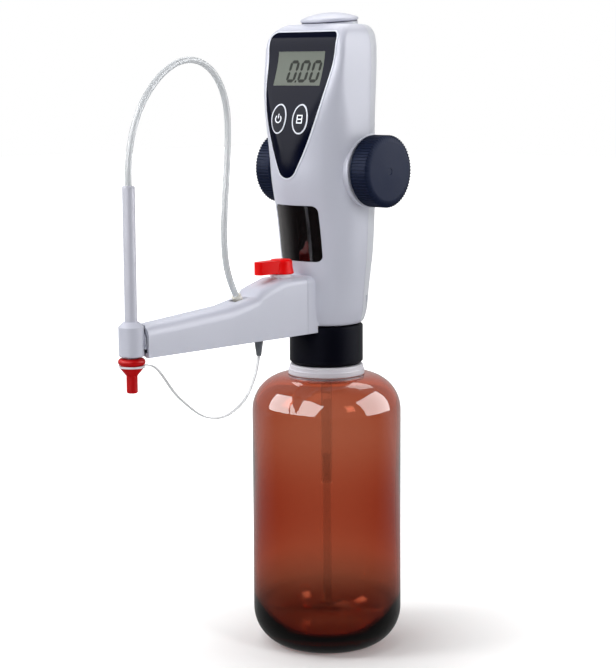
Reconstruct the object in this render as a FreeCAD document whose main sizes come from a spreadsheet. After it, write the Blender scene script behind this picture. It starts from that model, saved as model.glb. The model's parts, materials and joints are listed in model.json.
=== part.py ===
import FreeCAD, Part
import math
import os
import re
import Sketcher

# A bottle-top burette on its one litre bottle, in millimetres. +Z is up, -Y is the front, where
# the arm points, and the two hand wheels lie on the X axis. The origin is the middle of the
# bottle's underside. Everything above the threaded collar is drawn from the underside of the
# housing, and is lifted onto the bottle at the end.

doc = FreeCAD.newDocument("bottle_top_burette")
sheet = doc.addObject("Spreadsheet::Sheet", "Sizes")

SIZES = (
    # bottle, pouring ring and threaded collar
    ("bottle_radius", 50.5), ("bottle_wall", 3.0), ("foot_radius", 33.0), ("foot_rise", 25.0),
    ("foot_round", 26.6), ("shoulder_top", 186.5), ("shoulder_round", 24.6),
    ("neck_radius", 20.0), ("neck_wall", 3.6), ("thread_radius", 22.0), ("thread_band", 12.0),
    ("ring_radius", 25.8), ("ring_height", 7.0), ("ring_step", 0.8), ("ring_fit", 0.3),
    ("collar_gap", 0.4), ("collar_radius", 24.8), ("collar_height", 26.7), ("collar_web", 2.1),
    ("collar_chamfer", 2.0), ("thread_clearance", 0.6), ("seal_height", 1.5),
    ("sleeve_radius", 18.0), ("sleeve_bore", 14.0), ("sleeve_height", 11.2),
    ("swivel_gap", 1.0), ("swivel_clearance", 0.06), ("bush_radius", 21.0),
    ("bush_height", 5.0), ("clip_height", 1.2), ("clip_depth", 1.4),
    # housing
    ("wall", 2.4), ("seam_back", 6.7), ("seam_gap", 0.2), ("housing_height", 198.0),
    ("cap_radius", 19.2), ("cap_height", 6.4), ("cap_lean", 4.5), ("cap_back", 4.5),
    ("gasket_height", 0.8), ("cap_edge", 2.0),
    # front panel, display and keys
    ("panel_half", 29.3), ("panel_below_top", 5.1), ("panel_corner", 5.0),
    ("panel_shoulder_drop", 10.5),
    ("panel_tip", 98.4), ("panel_tip_half", 7.3), ("panel_tip_rise", 4.7),
    ("panel_side_round", 195.0), ("panel_thickness", 1.2), ("panel_seat", 0.05), ("rim_width", 0.9),
    ("rim_rise", 0.35), ("display_half", 20.6), ("display_below_top", 17.6),
    ("display_height", 22.1),
    ("lens_sink", 0.15), ("module_depth", 3.0), ("module_margin", 2.0),
    ("key_out", 9.4), ("key_below_top", 61.2), ("key_half_width", 5.6), ("key_half_height", 8.7),
    ("key_gap", 0.15), ("key_ring_width", 0.9), ("key_rise", 0.5), ("key_depth", 3.4),
    ("board_length", 66.0), ("board_width", 38.0), ("board_thickness", 1.6),
    ("board_lean", 12.5), ("board_front", 22.1), ("board_below_top", 43.1), ("switch_size", 6.0),
    ("switch_height", 4.4),
    # inspection window and measuring cylinder
    ("window_half", 18.3), ("window_low", 43.4), ("window_high", 80.4), ("window_corner", 4.0),
    ("glass_bore", 16.3), ("glass_wall", 2.4), ("glass_low", 21.4), ("glass_height", 72.0),
    ("glass_seat", 2.0), ("head_height", 4.0), ("piston_height", 8.0),
    ("piston_clearance", 0.06), ("seal_clearance", 0.02), ("seal_ring_height", 1.6),
    ("rod_width", 8.0), ("rod_front", 3.0), ("rod_back", 3.0), ("rod_top", 130.6),
    ("rod_guide_gap", 0.3), ("rack_low", 52.0),
    # hand wheels and gears
    ("wheel_level", 102.4), ("wheel_radius", 23.7), ("wheel_inner", 35.7),
    ("wheel_outer", 50.7), ("wheel_dome", 0.4), ("wheel_rim", 2.8), ("wheel_web", 3.2),
    ("wheel_hub", 5.5), ("wheel_edge", 5.2), ("wheel_edge_rise", 1.6), ("rib_count", 68.0),
    ("rib_depth", 0.6),
    ("rib_share", 0.55), ("shaft_radius", 2.5),
    ("shaft_end_gap", 3.0), ("shaft_clearance", 0.05), ("flange_radius", 8.5),
    ("flange_height", 0.6), ("hub_boss_radius", 24.2), ("hub_boss_draft", 0.3),
    ("hub_boss_edge", 1.0),
    ("flange_gap", 0.5), ("sleeve_wall", 2.0), ("gear_module", 0.6), ("hand_teeth", 12.0),
    ("reduction_teeth", 50.0), ("rack_module", 0.8), ("rack_teeth", 14.0),
    ("pressure_angle", 25.0), ("tooth_play", 0.05), ("addendum", 0.8), ("dedendum", 1.05),
    ("gear_face", 4.0), ("gear_side", 12.0),
    ("pinion_face", 6.0), ("idler_radius", 2.0), ("plate_side", 20.0), ("plate", 2.0),
    ("frame_front", 8.0), ("frame_rear", 16.0), ("encoder_radius", 10.0),
    ("encoder_side", 24.6), ("encoder_disc", 1.0), ("encoder_slots", 12.0),
    # valves and filling tube
    ("block_low", 11.0), ("block_flange", 23.9), ("block_radius", 20.6), ("plug_radius", 7.0),
    ("push_fit", 0.03),
    ("plug_drop", 12.0), ("ball_radius", 2.5), ("upper_tube_radius", 4.0),
    ("tube_wall", 0.9), ("upper_tube_low", 110.0), ("tube_fit", 0.1),
    ("lower_tube_low", 22.0), ("lower_tube_length", 108.0),
    # arm, valve lever and titrating tube
    ("arm_bottom", 4.0), ("arm_wall", 2.0), ("arm_start", 32.2), ("bracket_end", 31.9),
    ("bracket_start", 18.0), ("arm_cover", 1.8), ("cover_gap", 0.2), ("slot_half", 3.4),
    ("slot_front", 90.0), ("slot_rear", 78.6), ("lever_reach", 44.0), ("lever_radius", 8.5),
    ("lever_height", 9.3), ("lever_length", 23.4), ("lever_end", 3.4), ("lever_gap", 0.2),
    ("neck_ring_radius", 7.4),
    ("neck_ring_height", 2.2), ("spindle_radius", 2.5),
    ("valve_radius", 6.0), ("rail_half", 6.9), ("rail_low", 1.2), ("rail_height", 10.0),
    ("rail_corner", 4.0),
    ("rail_back", 104.0), ("rail_end", 171.5), ("rail_gap", 1.2), ("rail_gap_low", 2.3),
    ("rail_gap_high", 1.6), ("holder_reach", 176.4), ("nest_gap", 0.8),
    ("holder_radius", 7.8), ("holder_low", 3.0), ("holder_height", 21.0),
    ("holder_bevel", 3.0), ("tube_radius", 3.8), ("tube_bore", 2.3), ("tube_top", 100.1),
    ("tube_drop", 8.0), ("holder_clearance", 0.06), ("nozzle_radius", 2.0),
    ("nozzle_tip", 0.9), ("nozzle_length", 15.0), ("cap_flange", 8.4), ("cap_drop", 4.2),
    ("cap_flange_height", 4.4), ("cap_taper", 7.6), ("cap_spigot", 3.45), ("cap_bulge", 1.6),
    ("cap_cone", 5.0),
    ("cap_total", 21.4), ("cap_grip", 0.05), ("band_height", 1.2), ("band_radius", 8.0),
    ("anchor_reach", 65.6), ("anchor_radius", 3.6), ("anchor_tip", 1.6),
    ("anchor_height", 11.6), ("feed_radius", 1.6), ("pipe_wall", 1.2), ("hose_radius", 2.0),
    ("gland_wall", 1.2), ("gland_reach", 82.6), ("gland_level", 19.6), ("gland_length", 7.0),
    ("gland_lean", 30.0), ("strap_radius", 1.1),
    # batteries and screws
    ("cell_radius", 5.2), ("cell_length", 44.5), ("cell_below_top", 40.0), ("cell_back", 15.4),
    ("tray_wall", 1.2), ("cell_gap", 0.6), ("screw_radius", 1.4), ("screw_head", 2.6),
    ("boss_radius", 3.2),
    ("upper_screw_out", 25.5), ("upper_screw_below_top", 11.0), ("lower_screw_out", 23.8),
    ("lower_screw_level", 38.0), ("screw_length", 16.0),
)

# the plan of the housing at each height above its underside: height, half width, front and
# rear reach from the axis, and the two radii of each elliptical front corner
HOUSING = (
    ("foot", 0.0, 22.8, 22.8, 22.8, 22.2, 22.2),
    ("foot_curve", 1.4, 24.8, 24.8, 24.8, 24.2, 24.2),
    ("foot_end", 4.6, 26.2, 26.2, 26.3, 25.6, 25.6),
    ("low", 20.4, 28.3, 27.0, 28.6, 27.7, 26.4),
    ("sill", 43.4, 30.7, 28.6, 31.4, 30.1, 27.8),
    ("brow", 76.4, 32.7, 33.2, 32.5, 32.1, 32.3),
    ("chin", 98.4, 34.0, 38.0, 31.9, 33.2, 37.0),
    ("nose", 110.4, 34.1, 38.0, 31.0, 32.0, 34.6),
)

# the same for the head of the housing, which keeps its place below the top: depth first
HEAD = (
    ("keys", 61.6, 34.1, 35.2, 30.6, 21.8, 22.8),
    ("screen", 37.6, 34.7, 27.9, 31.7, 9.3, 9.3),
    ("screen_top", 19.6, 35.0, 23.0, 32.2, 4.5, 4.5),
    ("crown", 9.0, 33.8, 20.9, 32.2, 4.5, 4.5),
    ("crown_edge", 2.0, 29.6, 14.4, 30.2, 5.2, 5.2),
    ("crown_end", 0.0, 25.4, 11.4, 27.0, 6.0, 6.0),
)

# the arched arm at each reach from the axis: reach, half width, top and top corner radius,
# with the top measured from the underside of the housing
ARM = (
    ("arm_root", 32.2, 12.8, 34.1, 5.0),
    ("arm_hump", 52.5, 12.5, 34.1, 5.5),
    ("arm_step", 71.5, 12.0, 29.0, 6.0),
    ("arm_slot", 76.0, 11.8, 24.6, 6.0),
    ("arm_middle", 100.0, 11.3, 20.5, 7.5),
    ("arm_fore", 135.0, 10.4, 18.0, 7.5),
    ("arm_tip", 170.7, 9.4, 15.3, 6.3),
)

# routes of the two free cords, from the arm outwards, as (reach along the arm, height above
# the underside of the housing)
HOSE_ROOT = ((86.1, 25.7), (91.4, 34.9), (95.6, 49.0), (96.4, 68.0), (94.8, 90.0),
             (92.6, 110.5), (92.0, 121.0))
HOSE_TIP = ((92.0, 121.0), (91.4, 131.5), (92.7, 147.0), (97.4, 159.5), (106.0, 169.6),
            (118.5, 175.2), (133.0, 174.4), (146.5, 167.6), (158.0, 157.4), (167.2, 144.6),
            (173.2, 130.0), (176.2, 114.5), (176.4, 103.5), (176.4, 94.5))
STRAP_ROOT = ((65.6, -15.8), (67.4, -23.8), (71.4, -33.0), (79.5, -44.4), (88.0, -48.3))
STRAP_MIDDLE = ((88.0, -48.3), (96.5, -52.2), (112.0, -50.6), (122.5, -45.6), (131.0, -39.0))
STRAP_TIP = ((131.0, -39.0), (139.5, -32.4), (147.0, -23.4), (154.2, -14.2), (160.8, -9.9),
             (168.2, -9.2))

names = []


def write_sizes():
    """Put every driving dimension into a cell of the sheet, under its own name."""
    cells = list(SIZES)
    for rows, stands in ((HOUSING, "_level"), (HEAD, "_below_top")):
        for place, level, half, front, rear, corner_x, corner_y in rows:
            cells += [(place + stands, level), (place + "_half", half),
                      (place + "_front", front), (place + "_rear", rear),
                      (place + "_corner_x", corner_x), (place + "_corner_y", corner_y)]
    for place, reach, half, top, corner in ARM:
        cells += [(place + "_reach", reach), (place + "_half", half), (place + "_top", top),
                  (place + "_corner", corner)]
    for row, (name, number) in enumerate(cells, 1):
        sheet.set("A%d" % row, name.replace("_", " "))
        sheet.set("B%d" % row, str(number))
        sheet.setAlias("B%d" % row, name)
        names.append(name)
    doc.recompute()


# places that follow from the sizes
PLACES = {
    "collar_low": "shoulder_top + ring_height + collar_gap",
    "collar_high": "collar_low + collar_height",
    "mouth": "collar_high - collar_web - seal_height",
    "lift": "collar_high + swivel_gap",
    "collar_bore": "thread_radius + thread_clearance",
    "block_high": "glass_low + glass_seat",
    "glass_high": "glass_low + glass_height",
    "glass_radius": "glass_bore + glass_wall",
    "glass_clear": "glass_radius + tube_fit",
    "idler_back": "rod_back - addendum * rack_module + rack_module * rack_teeth / 2",
    "gear_span": "gear_module * (hand_teeth + reduction_teeth) / 2",
    "idler_rise": "sqrt(gear_span ^ 2 - (idler_back - seam_back) ^ 2)",
    "idler_level": "wheel_level + idler_rise",
    "frame_low": "head_high + 0.2",
    "frame_high": "idler_level + gear_module * reduction_teeth / 2 + 2 + plate",
    "head_high": "glass_high - glass_seat + head_height",
    "piston_low": "glass_low + 0.4",
    "pipe_level": "glass_low - 4",
    "plug_low": "block_low + 4 - plug_drop",
    "cap_level": "housing_height + 1.6",
    "lever_low": "arm_root_top + neck_ring_height + lever_gap",
    "spindle_low": "arm_cover - arm_bottom + 3",
    "hub_boss_end": "wheel_inner - flange_gap - flange_height",
    "panel_tip_round": "(panel_tip_half ^ 2 + panel_tip_rise ^ 2) / (2 * panel_tip_rise)",
    "panel_top": "housing_height - panel_below_top",
    "panel_shoulder": "panel_top - panel_shoulder_drop",
    "display_high": "housing_height - display_below_top",
    "display_low": "display_high - display_height",
    "key_level": "housing_height - key_below_top",
    "board_level": "housing_height - board_below_top",
    "key_drop": "(key_below_top - board_below_top) / cos(board_lean)",
    "cell_low": "housing_height - cell_below_top",
    "upper_screw_level": "housing_height - upper_screw_below_top",
    "nest_radius": "holder_radius + nest_gap",
}
PLACES.update((row[0] + "_level", "housing_height - %s_below_top" % row[0]) for row in HEAD)


def bound(words):
    """Turn a size written in plain words into an expression on the sheet."""
    def swap(found):
        word = found.group()
        if word in PLACES:
            return "(" + bound(PLACES[word]) + ")"
        return "Sizes." + word if word in names else word
    return re.sub(r"[a-z][a-z_]*", swap, str(words))


def value(words):
    return float(sheet.evalExpression(bound(words)))


def tie(thing, **sizes):
    """Bind properties of an object to sizes on the sheet."""
    for name, words in sizes.items():
        thing.setExpression(name, bound(words))
    return thing


heights = {}


def place(thing, x=0, y=0, z=0):
    for axis, words in zip("xyz", (x, y, z)):
        thing.setExpression("Placement.Base." + axis, bound(words))
    heights[thing.Name] = z
    return thing


def outline(sketch, steps):
    """Draw a closed outline whose corners and radii are bound to the sheet. A step is (x, y),
    reached by a line, or (x, y, radius), reached by an arc: a positive radius bulges to the
    right of the way it is walked and a negative one to the left."""
    corners = [FreeCAD.Vector(value(step[0]), value(step[1]), 0) for step in steps]
    ends = []
    for i, step in enumerate(steps):
        start, end = corners[i - 1], corners[i]
        if len(step) == 2:
            sketch.addGeometry(Part.LineSegment(start, end), False)
        else:
            radius = value(step[2])
            half = (end - start) / 2
            rise = abs(radius) - math.sqrt(max(radius ** 2 - half.Length ** 2, 0))
            out = FreeCAD.Vector(half.y, -half.x, 0).normalize() * math.copysign(rise, radius)
            sketch.addGeometry(Part.Arc(start, start + half + out, end), False)
        walked = (sketch.getPoint(i, 1) - start).Length < 1e-6
        ends.append((1, 2) if walked else (2, 1))
    for i, step in enumerate(steps):
        after = (i + 1) % len(steps)
        sketch.addConstraint(
            Sketcher.Constraint("Coincident", i, ends[i][1], after, ends[after][0]))
        for kind, words, number in (("DistanceX", step[0], corners[i].x),
                                    ("DistanceY", step[1], corners[i].y)):
            index = sketch.addConstraint(
                Sketcher.Constraint(kind, -1, 1, i, ends[i][1], number))
            sketch.setExpression("Constraints[%d]" % index, bound(words))
        if len(step) > 2:
            index = sketch.addConstraint(Sketcher.Constraint("Radius", i, abs(value(step[2]))))
            sketch.setExpression("Constraints[%d]" % index, bound("abs(%s)" % step[2]))
    return sketch


def sketch_in(body, role, steps, lift=0):
    """A sketch on one of the body's own origin planes, lifted along the plane's normal."""
    sketch = body.newObject("Sketcher::SketchObject", "Outline")
    plane = [f for f in body.Origin.OriginFeatures if f.Role == role][0]
    sketch.AttachmentSupport = [(plane, "")]
    sketch.MapMode = "FlatFace"
    sketch.setExpression("AttachmentOffset.Base.z", bound(lift))
    return outline(sketch, steps)


def new_body(label):
    body = doc.addObject("PartDesign::Body", label)
    body.Label = label
    return body


def turned(label, steps, role="XZ_Plane", axis="V_Axis"):
    """A body of revolution: a half section turned about its sketch's own axis."""
    body = new_body(label)
    half_section = sketch_in(body, role, steps)
    turn = body.newObject("PartDesign::Revolution", "Turn")
    turn.Profile = half_section
    turn.ReferenceAxis = (half_section, [axis])
    turn.Angle = 360
    return body


def ring(label, inner, outer, low, high):
    return turned(label, [(inner, low), (outer, low), (outer, high), (inner, high)])


def disc(label, radius, low, high):
    return turned(label, [(0, low), (radius, low), (radius, high), (0, high)])


def padded(label, role, steps, length, lift=0, middle=False):
    body = new_body(label)
    pad = body.newObject("PartDesign::Pad", "Pad")
    pad.Profile = sketch_in(body, role, steps, lift)
    pad.Midplane = middle
    tie(pad, Length=length)
    return body


def block(label, x, y, z):
    """A plain block between pairs of X, Y and Z places."""
    box = doc.addObject("Part::Box", label)
    box.Label = label
    tie(box, Length="(%s) - (%s)" % (x[1], x[0]), Width="(%s) - (%s)" % (y[1], y[0]),
        Height="(%s) - (%s)" % (z[1], z[0]))
    return place(box, x[0], y[0], z[0])


TURNS = {"x": (FreeCAD.Vector(0, 1, 0), 90), "y": (FreeCAD.Vector(1, 0, 0), -90),
         "z": (FreeCAD.Vector(0, 0, 1), 0)}


def rod(label, radius, length, x=0, y=0, z=0, along="z"):
    """A cylinder that starts at a place and runs along one axis."""
    cylinder = doc.addObject("Part::Cylinder", label)
    cylinder.Label = label
    cylinder.Placement.Rotation = FreeCAD.Rotation(*TURNS[along])
    tie(cylinder, Radius=radius, Height=length)
    return place(cylinder, x, y, z)


def fuse(label, *shapes):
    whole = doc.addObject("Part::MultiFuse", label)
    whole.Label = label
    whole.Shapes = list(shapes)
    return whole


def cut(label, base, *tools):
    result = doc.addObject("Part::Cut", label)
    result.Label = label
    result.Base = base
    result.Tool = tools[0] if len(tools) == 1 else fuse(label + "_tools", *tools)
    return result


def common(label, *shapes):
    shared = doc.addObject("Part::MultiCommon", label)
    shared.Label = label
    shared.Shapes = list(shapes)
    return shared


def prism(label, steps, depth=60, grow=None):
    """An outline in the XZ plane pushed through the front of the housing, towards -Y."""
    sketch = doc.addObject("Sketcher::SketchObject", label + "_outline")
    sketch.Placement.Rotation = FreeCAD.Rotation(FreeCAD.Vector(1, 0, 0), 90)
    outline(sketch, steps)
    if grow is not None:
        wider = doc.addObject("Part::Offset2D", label + "_wider")
        wider.Source = sketch
        sketch = tie(wider, Value=grow)
    return pushed(label, sketch, depth)


def pushed(label, flat, depth):
    run = doc.addObject("Part::Extrusion", label)
    run.Base = flat
    run.DirMode = "Custom"
    run.Dir = FreeCAD.Vector(0, -1, 0)
    run.Solid = True
    return tie(run, LengthFwd=depth)


def oval(label, half_width, half_height, x, z, depth=60):
    """An upright ellipse pushed through the front of the housing."""
    ellipse = doc.addObject("Part::Ellipse", label + "_outline")
    upright = FreeCAD.Rotation(FreeCAD.Vector(0, 0, 1), FreeCAD.Vector(1, 0, 0),
                               FreeCAD.Vector(0, 1, 0), "XYZ")
    ellipse.Placement.Rotation = upright
    tie(ellipse, MajorRadius=half_height, MinorRadius=half_width)
    place(ellipse, x, 0, z)
    return pushed(label, ellipse, depth)


def plain(label, shape):
    """A shape that no parametric feature makes, computed from the sheet."""
    feature = doc.addObject("Part::Feature", label)
    feature.Label = label
    feature.Shape = shape
    return feature


nodes = []


def node(thing, name, lifted=True):
    """Keep a finished sub-part: name it and, if it belongs above the collar, lift it there."""
    thing.Label = name
    if lifted:
        level = bound("lift + (%s)" % heights.get(thing.Name, 0))
        thing.setExpression("Placement.Base.z", level)
    nodes.append(thing)
    return thing


forms = {}


def section(name, grow):
    """The closed plan of the housing at one height, grown or shrunk by a wall."""
    level = value(name + "_level")
    half, front, rear = [value(name + end) + grow for end in ("_half", "_front", "_rear")]
    corner_x, corner_y = [max(value(name + end) + grow, 1) for end in ("_corner_x", "_corner_y")]
    flat = 0.6
    plan = (
        (half - corner_x, -(front - corner_y), corner_x, corner_y, 270),
        (flat, flat, half - flat, rear - flat, 0),
        (-flat, flat, half - flat, rear - flat, 90),
        (-(half - corner_x), -(front - corner_y), corner_x, corner_y, 180),
    )
    corners = []
    for x, y, radius_x, radius_y, start in plan:
        quarter = Part.makeCircle(1, FreeCAD.Vector(), FreeCAD.Vector(0, 0, 1), start, start + 90)
        stretch = FreeCAD.Matrix()
        stretch.scale(radius_x, radius_y, 1)
        corner = quarter.transformGeometry(stretch)
        corner.translate(FreeCAD.Vector(x, y, level))
        corners.append(corner)
    edges = []
    for i, corner in enumerate(corners):
        last = corners[i - 1].Vertexes[-1].Point
        edges += [Part.LineSegment(last, corner.Vertexes[0].Point).toShape(), corner]
    return Part.Wire(edges)


def form(grow):
    """The smooth outer form of the housing, grown by a size in words."""
    if grow not in forms:
        wires = [section(row[0], value(grow)) for row in HOUSING + HEAD]
        forms[grow] = plain("form_%d" % len(forms), Part.makeLoft(wires, True, False))
    return forms[grow]


def skin(label, push, outer, inner):
    """The stretch of the housing's skin inside a prism, between two grown forms."""
    return cut(label, common(label + "_outer", push, form(outer)), form(inner))


write_sizes()


def bottle():
    """Blown glass bottle: flat foot, long corner curve, straight wall, shoulder and neck."""
    thread_low = "mouth - 5 - thread_band"
    thread_high = "mouth - 5"
    wall_in = "bottle_radius - bottle_wall"
    shoulder = "shoulder_top - shoulder_round"
    node(turned("bottle_glass", [
        (0, 0), ("foot_radius", 0), ("bottle_radius", "foot_rise", "foot_round"),
        ("bottle_radius", shoulder),
        ("bottle_radius - shoulder_round", "shoulder_top", "shoulder_round"),
        ("neck_radius", "shoulder_top"), ("neck_radius", thread_low),
        ("thread_radius", thread_low + " + 1"), ("thread_radius", thread_high + " - 1"),
        ("neck_radius", thread_high), ("neck_radius", "mouth"),
        ("neck_radius - neck_wall", "mouth"),
        ("neck_radius - neck_wall", "shoulder_top - bottle_wall"),
        ("bottle_radius - shoulder_round", "shoulder_top - bottle_wall"),
        (wall_in, shoulder, "-(shoulder_round - bottle_wall)"),
        (wall_in, "foot_rise"),
        ("foot_radius - 1", "bottle_wall", "-(foot_round - bottle_wall)"), (0, "bottle_wall"),
    ]), "bottle", False)


def pouring_ring():
    """Stepped drip ring that sits on the shoulder, snapped over the bottle's thread."""
    outer, high = "ring_radius", "shoulder_top + ring_height"
    node(turned("drip_ring", [
        ("neck_radius + ring_fit", "shoulder_top"), (outer + " - 0.5", "shoulder_top"),
        (outer, "shoulder_top + 0.5"), (outer, "shoulder_top + ring_height * 0.5"),
        (outer + " - ring_step", "shoulder_top + ring_height * 0.5 + 0.3"),
        (outer + " - ring_step", high + " - 0.8"), (outer + " - ring_step - 0.8", high),
        ("neck_radius + ring_fit", high),
    ]), "pouring_ring", False)


def collar():
    """Threaded collar with a web over the bottle's mouth and a bearing sleeve above it."""
    bore = "collar_bore"
    top = "collar_high + sleeve_height"
    groove = "collar_high + swivel_gap + bush_height + 2.6"
    node(turned("collar_turning", [
        (bore, "collar_low"), ("collar_radius - collar_chamfer", "collar_low"),
        ("collar_radius", "collar_low + collar_chamfer"), ("collar_radius", "collar_high - 0.8"),
        ("collar_radius - 0.8", "collar_high"), ("sleeve_radius", "collar_high"),
        ("sleeve_radius", groove), ("sleeve_radius - clip_depth", groove),
        ("sleeve_radius - clip_depth", groove + " + clip_height + 0.1"),
        ("sleeve_radius", groove + " + clip_height + 0.1"), ("sleeve_radius", top + " - 0.6"),
        ("sleeve_radius - 0.6", top), ("sleeve_bore", top),
        ("sleeve_bore", "collar_high - collar_web"), (bore, "collar_high - collar_web"),
    ]), "thread_collar", False)
    node(ring("seal_turning", "neck_radius - neck_wall", "neck_radius", "mouth",
              "mouth + seal_height"), "mouth_seal", False)
    low = groove + " + 0.05"
    hoop = ring("clip_hoop", "sleeve_radius - clip_depth + push_fit", "sleeve_radius + clip_depth", low,
                low + " + clip_height")
    gap = block("clip_gap", ("-4", "4"), ("0", "sleeve_radius + 4"), (low, low + " + 2"))
    node(cut("clip_cut", hoop, gap), "base_clip", False)


def arch(body, reach, half, top, corner, low):
    """One arch-shaped section of the arm, square to the arm and bound to its sizes."""
    side = "%s - (%s)" % (top, corner)
    return sketch_in(body, "XZ_Plane", [
        ("-(%s)" % half, low), (half, low), (half, side),
        ("%s - (%s)" % (half, corner), top, corner), ("(%s) - (%s)" % (corner, half), top),
        ("-(%s)" % half, side, corner),
    ], reach)


def padded_arch(label, reach, length, half, top, corner, low):
    """An arch-shaped bar that starts at a reach and runs outwards along the arm."""
    body = new_body(label)
    pad = body.newObject("PartDesign::Pad", "Pad")
    pad.Profile = arch(body, reach, half, top, corner, low)
    tie(pad, Length=length)
    return body


def arch_loft(label, sections):
    body = new_body(label)
    sketches = [arch(body, *one) for one in sections]
    loft = body.newObject("PartDesign::AdditiveLoft", "Loft")
    loft.Profile = sketches[0]
    loft.Sections = sketches[1:]
    loft.Ruled = True
    return body


def housing():
    """Front shell with its arm bracket, and the rear cover, split at the wheel shaft."""
    floor_to_roof = block("hollow_slab", ("-60", "60"), ("-60", "60"),
                          ("wall", "housing_height - wall"))
    hollow = common("hollow", form("-wall"), floor_to_roof)
    base_hole = rod("base_hole", "sleeve_radius + 0.4", "wall + 2", z="-1")
    cap_hole = rod("cap_hole", "cap_radius - 4", "20", y="cap_back", z="housing_height - 10")
    inner_drum = "hub_boss_radius - wall"
    hub_room = rod("hub_room", inner_drum, "2 * (hub_boss_end - wall)",
                   x="wall - hub_boss_end", y="seam_back", z="wheel_level", along="x")
    cap_seat = on_cap(ring("cap_seat", "cap_radius - 4", "cap_radius - 0.5", "-3.4", "-0.05"))
    pierced = cut("pierced", cut("shell_wall", form("0"), hollow), base_hole, cap_hole,
                  hub_room)
    hub_ends = cut("hub_ends", hub_drum(), hub_room, form("-wall"))
    bushing = rod("bush_holes", "shaft_radius + shaft_clearance + sleeve_wall + push_fit", "120",
                  x="-60", y="seam_back", z="wheel_level", along="x")
    ahead = block("ahead", ("-60", "60"), ("-80", "seam_back"), ("-5", "housing_height + 5"))
    behind = block("behind", ("-60", "60"), ("seam_back + seam_gap", "60"),
                   ("-5", "housing_height + 5"))
    screws = screw_places()
    bosses = common("bosses", form("-wall / 2"), fuse("boss_rods", *[
        rod("boss_%d" % i, "boss_radius", "60", x=x, y="seam_back - 60", z=z, along="y")
        for i, (x, z) in enumerate(screws)]), ahead)
    bracket = cut("bracket", arch_loft("bracket_loft", [
        ("bracket_end", "arm_root_half", "arm_root_top", "arm_root_corner", "-arm_bottom"),
        ("bracket_start", "arm_root_half", "arm_root_top", "arm_root_corner", "-arm_bottom")]),
        rod("bracket_clear", "collar_radius + 1", "arm_bottom + 1", z="-arm_bottom - 0.5"),
        form("-wall / 2"))
    bores = [rod("front_screw_%d" % i, "screw_radius + push_fit", "screw_length", x=x,
                 y="seam_back + 1 - screw_length", z=z, along="y")
             for i, (x, z) in enumerate(screws)]
    pipe_way = rod("pipe_way", "valve_radius - 2", "40", y="-arm_start - 5",
                   z="glass_low - 4", along="y")
    front = cut("front_shell_cut", fuse("front_body", *[
        common("front_" + piece.Label, piece, ahead) for piece in (pierced, hub_ends, cap_seat)],
        bosses, bracket),
                bushing, panel_recess(), window_prism("window_hole", "0.1"), pipe_way, *bores)
    node(front, "front_shell")
    heads = [rod("rear_screw_%d" % i, "screw_radius + 0.2", "40", x=x, y="seam_back", z=z,
                 along="y") for i, (x, z) in enumerate(screws)]
    wells = [rod("screw_well_%d" % i, "screw_head + 0.3", "40", x=x,
                 y="seam_back + seam_gap + 3", z=z, along="y")
             for i, (x, z) in enumerate(screws)]
    pads = common("rear_pads", form("-wall / 2"), behind, fuse("pad_rods", *[
        rod("pad_%d" % i, "boss_radius + 1", "30", x=x, y="seam_back", z=z, along="y")
        for i, (x, z) in enumerate(screws)]))
    grip = block("grip", ("24.5", "40"), ("9", "13"), ("7", "19"))
    rear = cut("rear_cover_cut", fuse("rear_body", *[
        common("rear_" + piece.Label, piece, behind) for piece in (pierced, hub_ends, cap_seat)],
        pads), bushing, grip, *heads, *wells)
    node(rear, "rear_cover")
    node(fuse("screw_set", *[screw(i, x, z) for i, (x, z) in enumerate(screws)]),
         "housing_screws")


def hub_drum():
    """The drum across the housing whose two ends stand behind the hand wheels."""
    side, end = "(chin_half - 4)", "(hub_boss_end - 0.05)"
    broad = "hub_boss_radius + hub_boss_draft"
    return place(turned("hub_drum", [
        ("-" + end, 0), (end, 0), (end, "hub_boss_radius - hub_boss_edge"),
        (end + " - hub_boss_edge", "hub_boss_radius", "hub_boss_edge"), (side, broad),
        ("-" + side, broad), ("hub_boss_edge - " + end, "hub_boss_radius"),
        ("-" + end, "hub_boss_radius - hub_boss_edge", "hub_boss_edge")],
        "XY_Plane", "H_Axis"), 0, "seam_back", "wheel_level")


def screw_places():
    return [(side + out, level) for side in ("", "-")
            for out, level in (("upper_screw_out", "upper_screw_level"),
                               ("lower_screw_out", "lower_screw_level"))]


def screw(i, x, z):
    """A pan-head screw from the rear cover's well into a boss of the front shell."""
    seat = "seam_back + seam_gap + 3"
    shank = rod("shank_%d" % i, "screw_radius", "screw_length", x=x,
                y="seam_back + 1.2 - screw_length + 3", z=z, along="y")
    head = rod("head_%d" % i, "screw_head", "2", x=x, y=seat, z=z, along="y")
    return fuse("screw_%d" % i, shank, head)


def panel_steps():
    """The shield: a small round tip, two long curved sides and a straight top."""
    low = "panel_tip + panel_tip_rise"
    return [
        ("panel_tip_half", low, "panel_tip_round"),
        ("panel_half", "panel_shoulder", "panel_side_round"),
        ("panel_half", "panel_top - panel_corner"),
        ("panel_half - panel_corner", "panel_top", "panel_corner"),
        ("panel_corner - panel_half", "panel_top"),
        ("-panel_half", "panel_top - panel_corner", "panel_corner"),
        ("-panel_half", "panel_shoulder"),
        ("-panel_tip_half", low, "panel_side_round"),
    ]


def rectangle(half, low, high):
    return [("-(%s)" % half, low), (half, low), (half, high), ("-(%s)" % half, high)]


def rounded(half, low, high, corner):
    """A rectangle with four round corners."""
    return [
        (half, low + " + " + corner, corner), (half, high + " - " + corner),
        (half + " - " + corner, high, corner), (corner + " - " + half, high),
        ("-" + half, high + " - " + corner, corner), ("-" + half, low + " + " + corner),
        (corner + " - " + half, low, corner), (half + " - " + corner, low),
    ]


KEYS = (("power", "-key_out"), ("mode", "key_out"))


def key_oval(label, x, margin):
    return oval(label, "key_half_width + " + margin, "key_half_height + " + margin, x,
                "key_level")


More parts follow.
